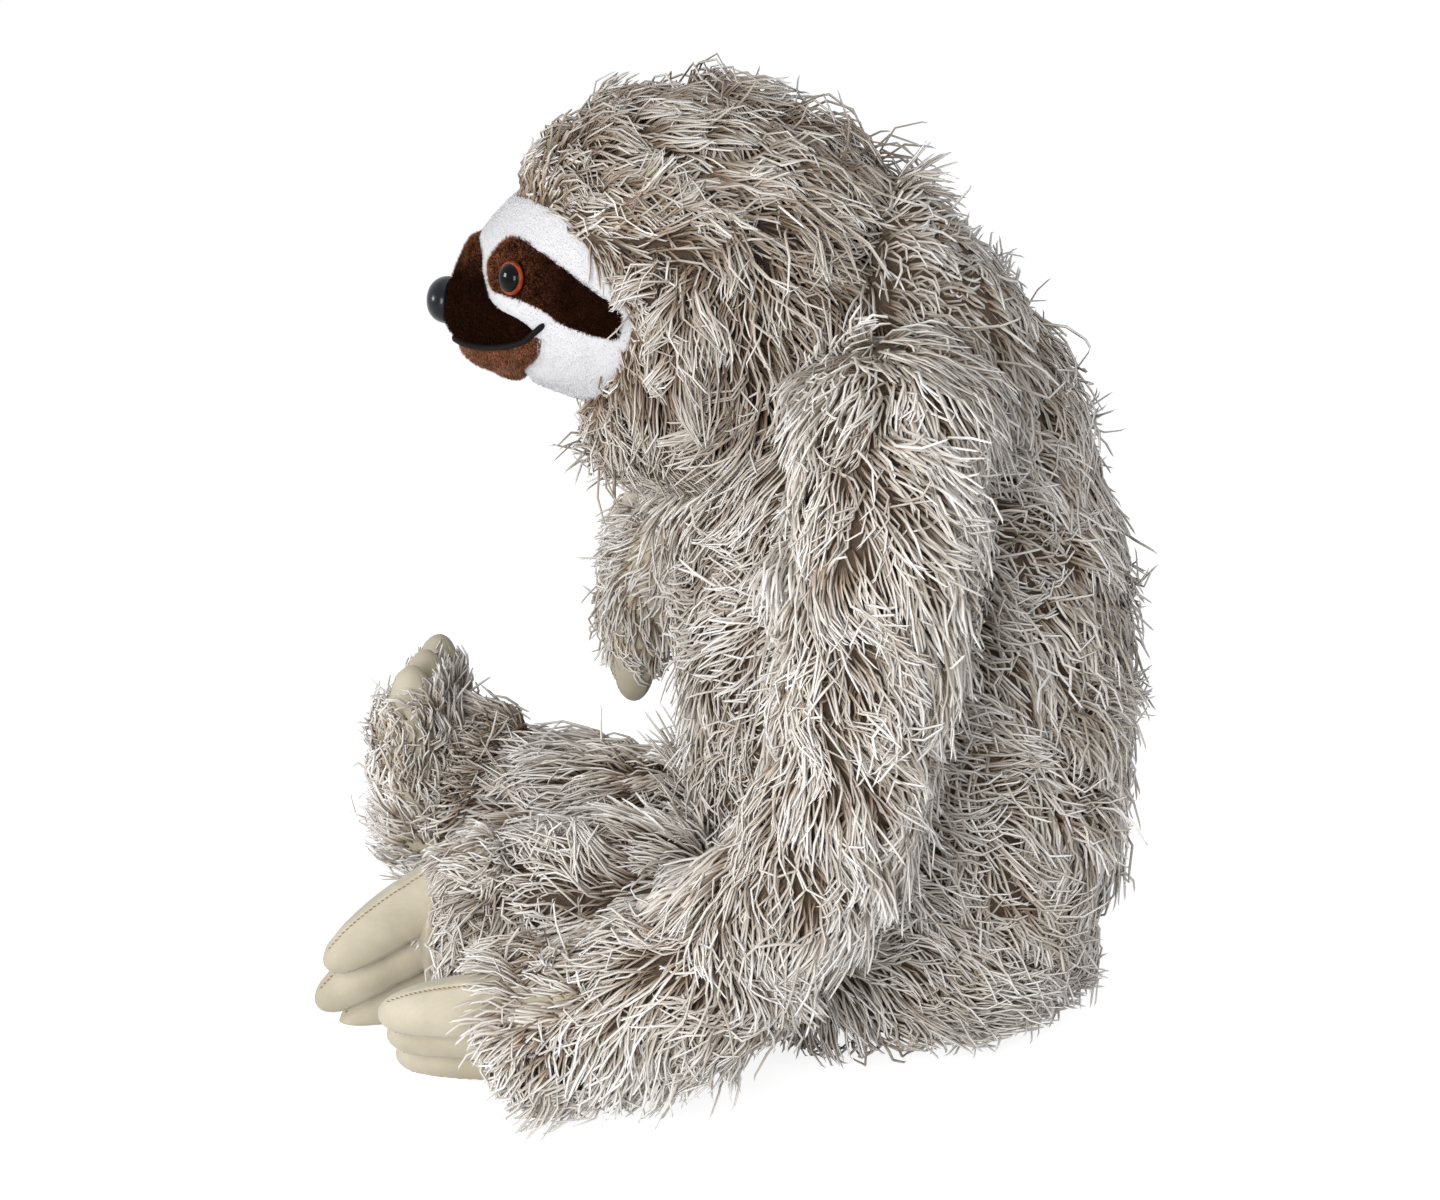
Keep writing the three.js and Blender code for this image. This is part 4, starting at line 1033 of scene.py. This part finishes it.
eye_places = {side: np.array([side * 50.0, -176.4, 377.9]) * mm for side in (1, -1)}
eye_looks = {side: unit(np.array([side * 0.819, -0.557, 0.133])) for side in (1, -1)}
nose_middle = np.array([0, -217.1, 357.5]) * mm
bare_spots = [(eye_places[side], 8.2 * mm) for side in (1, -1)] + [(nose_middle, 10 * mm)]
white_nap = pile_material("white_nap", [(0, "d0cfd1"), (1, "dad9db")], [(0, "d3d2d4"), (1, "dddcde")], 0.8, 0)
dark_nap = pile_material("dark_brown_nap", [(0, "070202"), (1, "110603")], [(0, "43200f"), (1, "b07252")], 0.8, 0)
chin_nap = pile_material("brown_nap", [(0, "331809"), (1, "54301e")], [(0, "744328"), (1, "c8947a")], 0.7, 0)


def patch_painted_light(root):
    """Painted light and shade: lighter in front of and over the eye, where the nap turns up to the light, darker
    towards the cheek.
    """
    ahead = (head_middle[1] - root[:, 1]) / head_size[1]
    return np.clip(0.16 + 2.8 * (ahead - 0.25) + 3 * np.clip(ahead - 0.37, 0, 1), 0.07, 1)


def muzzle_painted_light(root):
    """Painted light: lighter towards the top, where the nap catches the light, and dark lower down on the cheeks."""
    height = (root[:, 2] - head_middle[2]) / (head_size[2] / 2)
    return np.clip(0.03 + 2.2 * np.clip(height + 0.04, 0, 1), 0.03, 0.7)


grow_nap("face_mask", 0.9, 1, 0.4, white_nap, "white_plush", 0.6, 71)
grow_nap("eye_patch_left", 3.6, 2.3, 0.2, dark_nap, "dark_plush", patch_painted_light, 72)
grow_nap("eye_patch_right", 3.6, 2.3, 0.2, dark_nap, "dark_plush", patch_painted_light, 73)
grow_nap("muzzle", 2.8, 2.4, 0.2, dark_nap, "dark_plush", muzzle_painted_light, 74)
grow_nap("chin", 2.7, 2.2, 0.22, chin_nap, "brown_plush", 0.45, 75)

# Mouth
# A line of black embroidery thread between the muzzle and the chin, which turns up at its two ends.
def on_skull(y, z, out):
    """The point of the skull's left surface at y and z, moved outwards."""
    hit, normal, _, _ = skull_tree.ray_cast(Vector((0.2, y, z)), Vector((-1, 0, 0)))
    if hit is None:
        return None
    return np.array(hit) + np.array(normal if normal.x > 0 else -normal) * out


def round_piece(name, centres, side, rise, radii, sides, *what):
    """A closed round piece through centres, its rings spanned by side and rise; the rest is as for declare."""
    turn = 2 * math.pi * np.arange(sides)[:, None] / sides
    spokes = side[..., None, :] * np.cos(turn) + rise[..., None, :] * np.sin(turn)
    rings = centres[:, None] + spokes * radii[:, None, None]
    return object_of(name, [*rings.reshape(-1, 3), centres[0], centres[-1]], tube_faces(len(radii), sides), *what)


thread, tree, output = new_tree("black_embroidery_thread")
place = add_node(tree, "TexCoord")
ply = add_node(tree, "TexWave", {"bands_direction": "DIAGONAL"},
               Vector=place.outputs["Object"], Scale=300, Distortion=1.5).outputs[1]
finish(tree, output, ply, 0.3, Base_Color=colour_ramp(tree, ply, (0, "040303"), (1, "100d0c")), Roughness=0.8,
       Specular_IOR_Level=0.15)
half = []
for y, z in curve_through(mouth_run, 5):
    point = on_skull(y, z, 0.6 * mm if y > mouth_run[2][0] else 2.2 * mm)
    if point is not None:
        half.append(point)
half = np.array(half)
for _ in range(2):
    half[1:-1] = (half[:-2] + 2 * half[1:-1] + half[2:]) / 4
front = np.array([0, muzzle_tip - 1.2 * mm, half[-1][2]])
bridge = [half[-1] + (front - half[-1]) * t + np.array([0, -2.25 * mm * math.sin(math.pi * t), 0])
          for t in (0.25, 0.5, 0.75)]
half = np.concatenate([half, bridge])
smile = np.concatenate([half, [front], half[::-1] * [-1, 1, 1]])
girths = np.full(len(smile), 1.5 * mm)
ends = np.minimum(np.arange(len(smile)), np.arange(len(smile))[::-1])
girths *= np.clip(0.5 + ends / 5, 0, 1)
tangent = unit(np.gradient(smile, axis=0))
side = unit(np.cross(tangent, np.array([0.05, 0.1, 1.0])))
round_piece("mouth_thread", smile, side, np.cross(side, tangent), girths, 10, thread, None, "head", "thread",
            "mouth_stitch")

# Eyes and nose
# Safety eyes and nose, moulded in clear and black plastic and polished, each with a shank through the cloth.
def turned(name, rows, sides, place, look, stretch, materials, slot, node):
    """A turned form about its look direction. Each row is (radius, height) in mm and its material's number."""
    radius, height, kind = np.array(rows).T
    look = np.array(look)
    side = unit(np.cross(look, [0, 0, 1.0]))
    piece = round_piece(name, place + look * height[:, None] * mm, side * stretch, np.cross(side, look), radius * mm,
                        sides, materials[0], None, "head", slot, node)
    for material in materials[1:]:
        piece.data.materials.append(material)
    kinds = np.append(np.repeat(kind[1:], sides), np.tile(kind[[0, -1]], sides))
    piece.data.polygons.foreach_set("material_index", kinds.astype(np.int32))
    face_outwards(piece)


def gloss_plastic(name, dark, light, scale, roughness, shine):
    """Polished moulded plastic: a faint cloud in its colour under a clear, hard shine."""
    return mottled(name, dark, light, scale, 3, 0.35, 0.65, Roughness=roughness, Specular_IOR_Level=shine)


iris = gloss_plastic("amber_eye_plastic", "6a2408", "96380f", 400, 0.3, 0.15)
pupil = gloss_plastic("black_pupil_plastic", "010102", "030304", 200, 0.05, 0.14)
nose_plastic = gloss_plastic("black_nose_plastic", "06080f", "0c101b", 160, 0.24, 0.26)
dome = [(6.6 * math.cos(a), 1.9 + 3.3 * math.sin(a), 1) for a in (0.16 * k for k in range(1, 10))]
eye_rows = [(2, -11, 0), (2, 0, 0), (7.6, 0, 0), (8, 0.5, 0), (7.95, 1.1, 0), (7.6, 1.7, 0), (7.25, 2.05, 0),
            (6.9, 2.15, 0), (6.65, 2.05, 0), (6.6, 1.9, 1)] + dome
for side, name in ((1, "left"), (-1, "right")):
    turned("eye_" + name + "_glossy", eye_rows, 40, eye_places[side], eye_looks[side], 1, (iris, pupil),
           "eye_plastic", "eye_" + name)
nose_rows = [(2, -17, 0), (2, -1, 0), (9.6, -1, 0), (11.1, 0.2, 0)]
nose_rows += [(11.5 * math.cos(a) ** 0.8, 2 + 10 * math.sin(a), 0) for a in (0.15 * k for k in range(0, 11))]
turned("nose_glossy", nose_rows, 48, nose_middle, (0, -1, 0), 27 / 23, (nose_plastic,), "nose_plastic", "nose")

# Washers
# Plain white moulded washers lock the shanks behind the cloth; nothing shows of them.
washer_plastic = mottled("moulded_white_polypropylene", "d8d8d6", "ececea", 120, Roughness=0.5)
for node in ("eye_washer_left", "eye_washer_right", "nose_washer"):
    frame["nodes"][node].data.materials.clear()
    frame["nodes"][node].data.materials.append(washer_plastic)
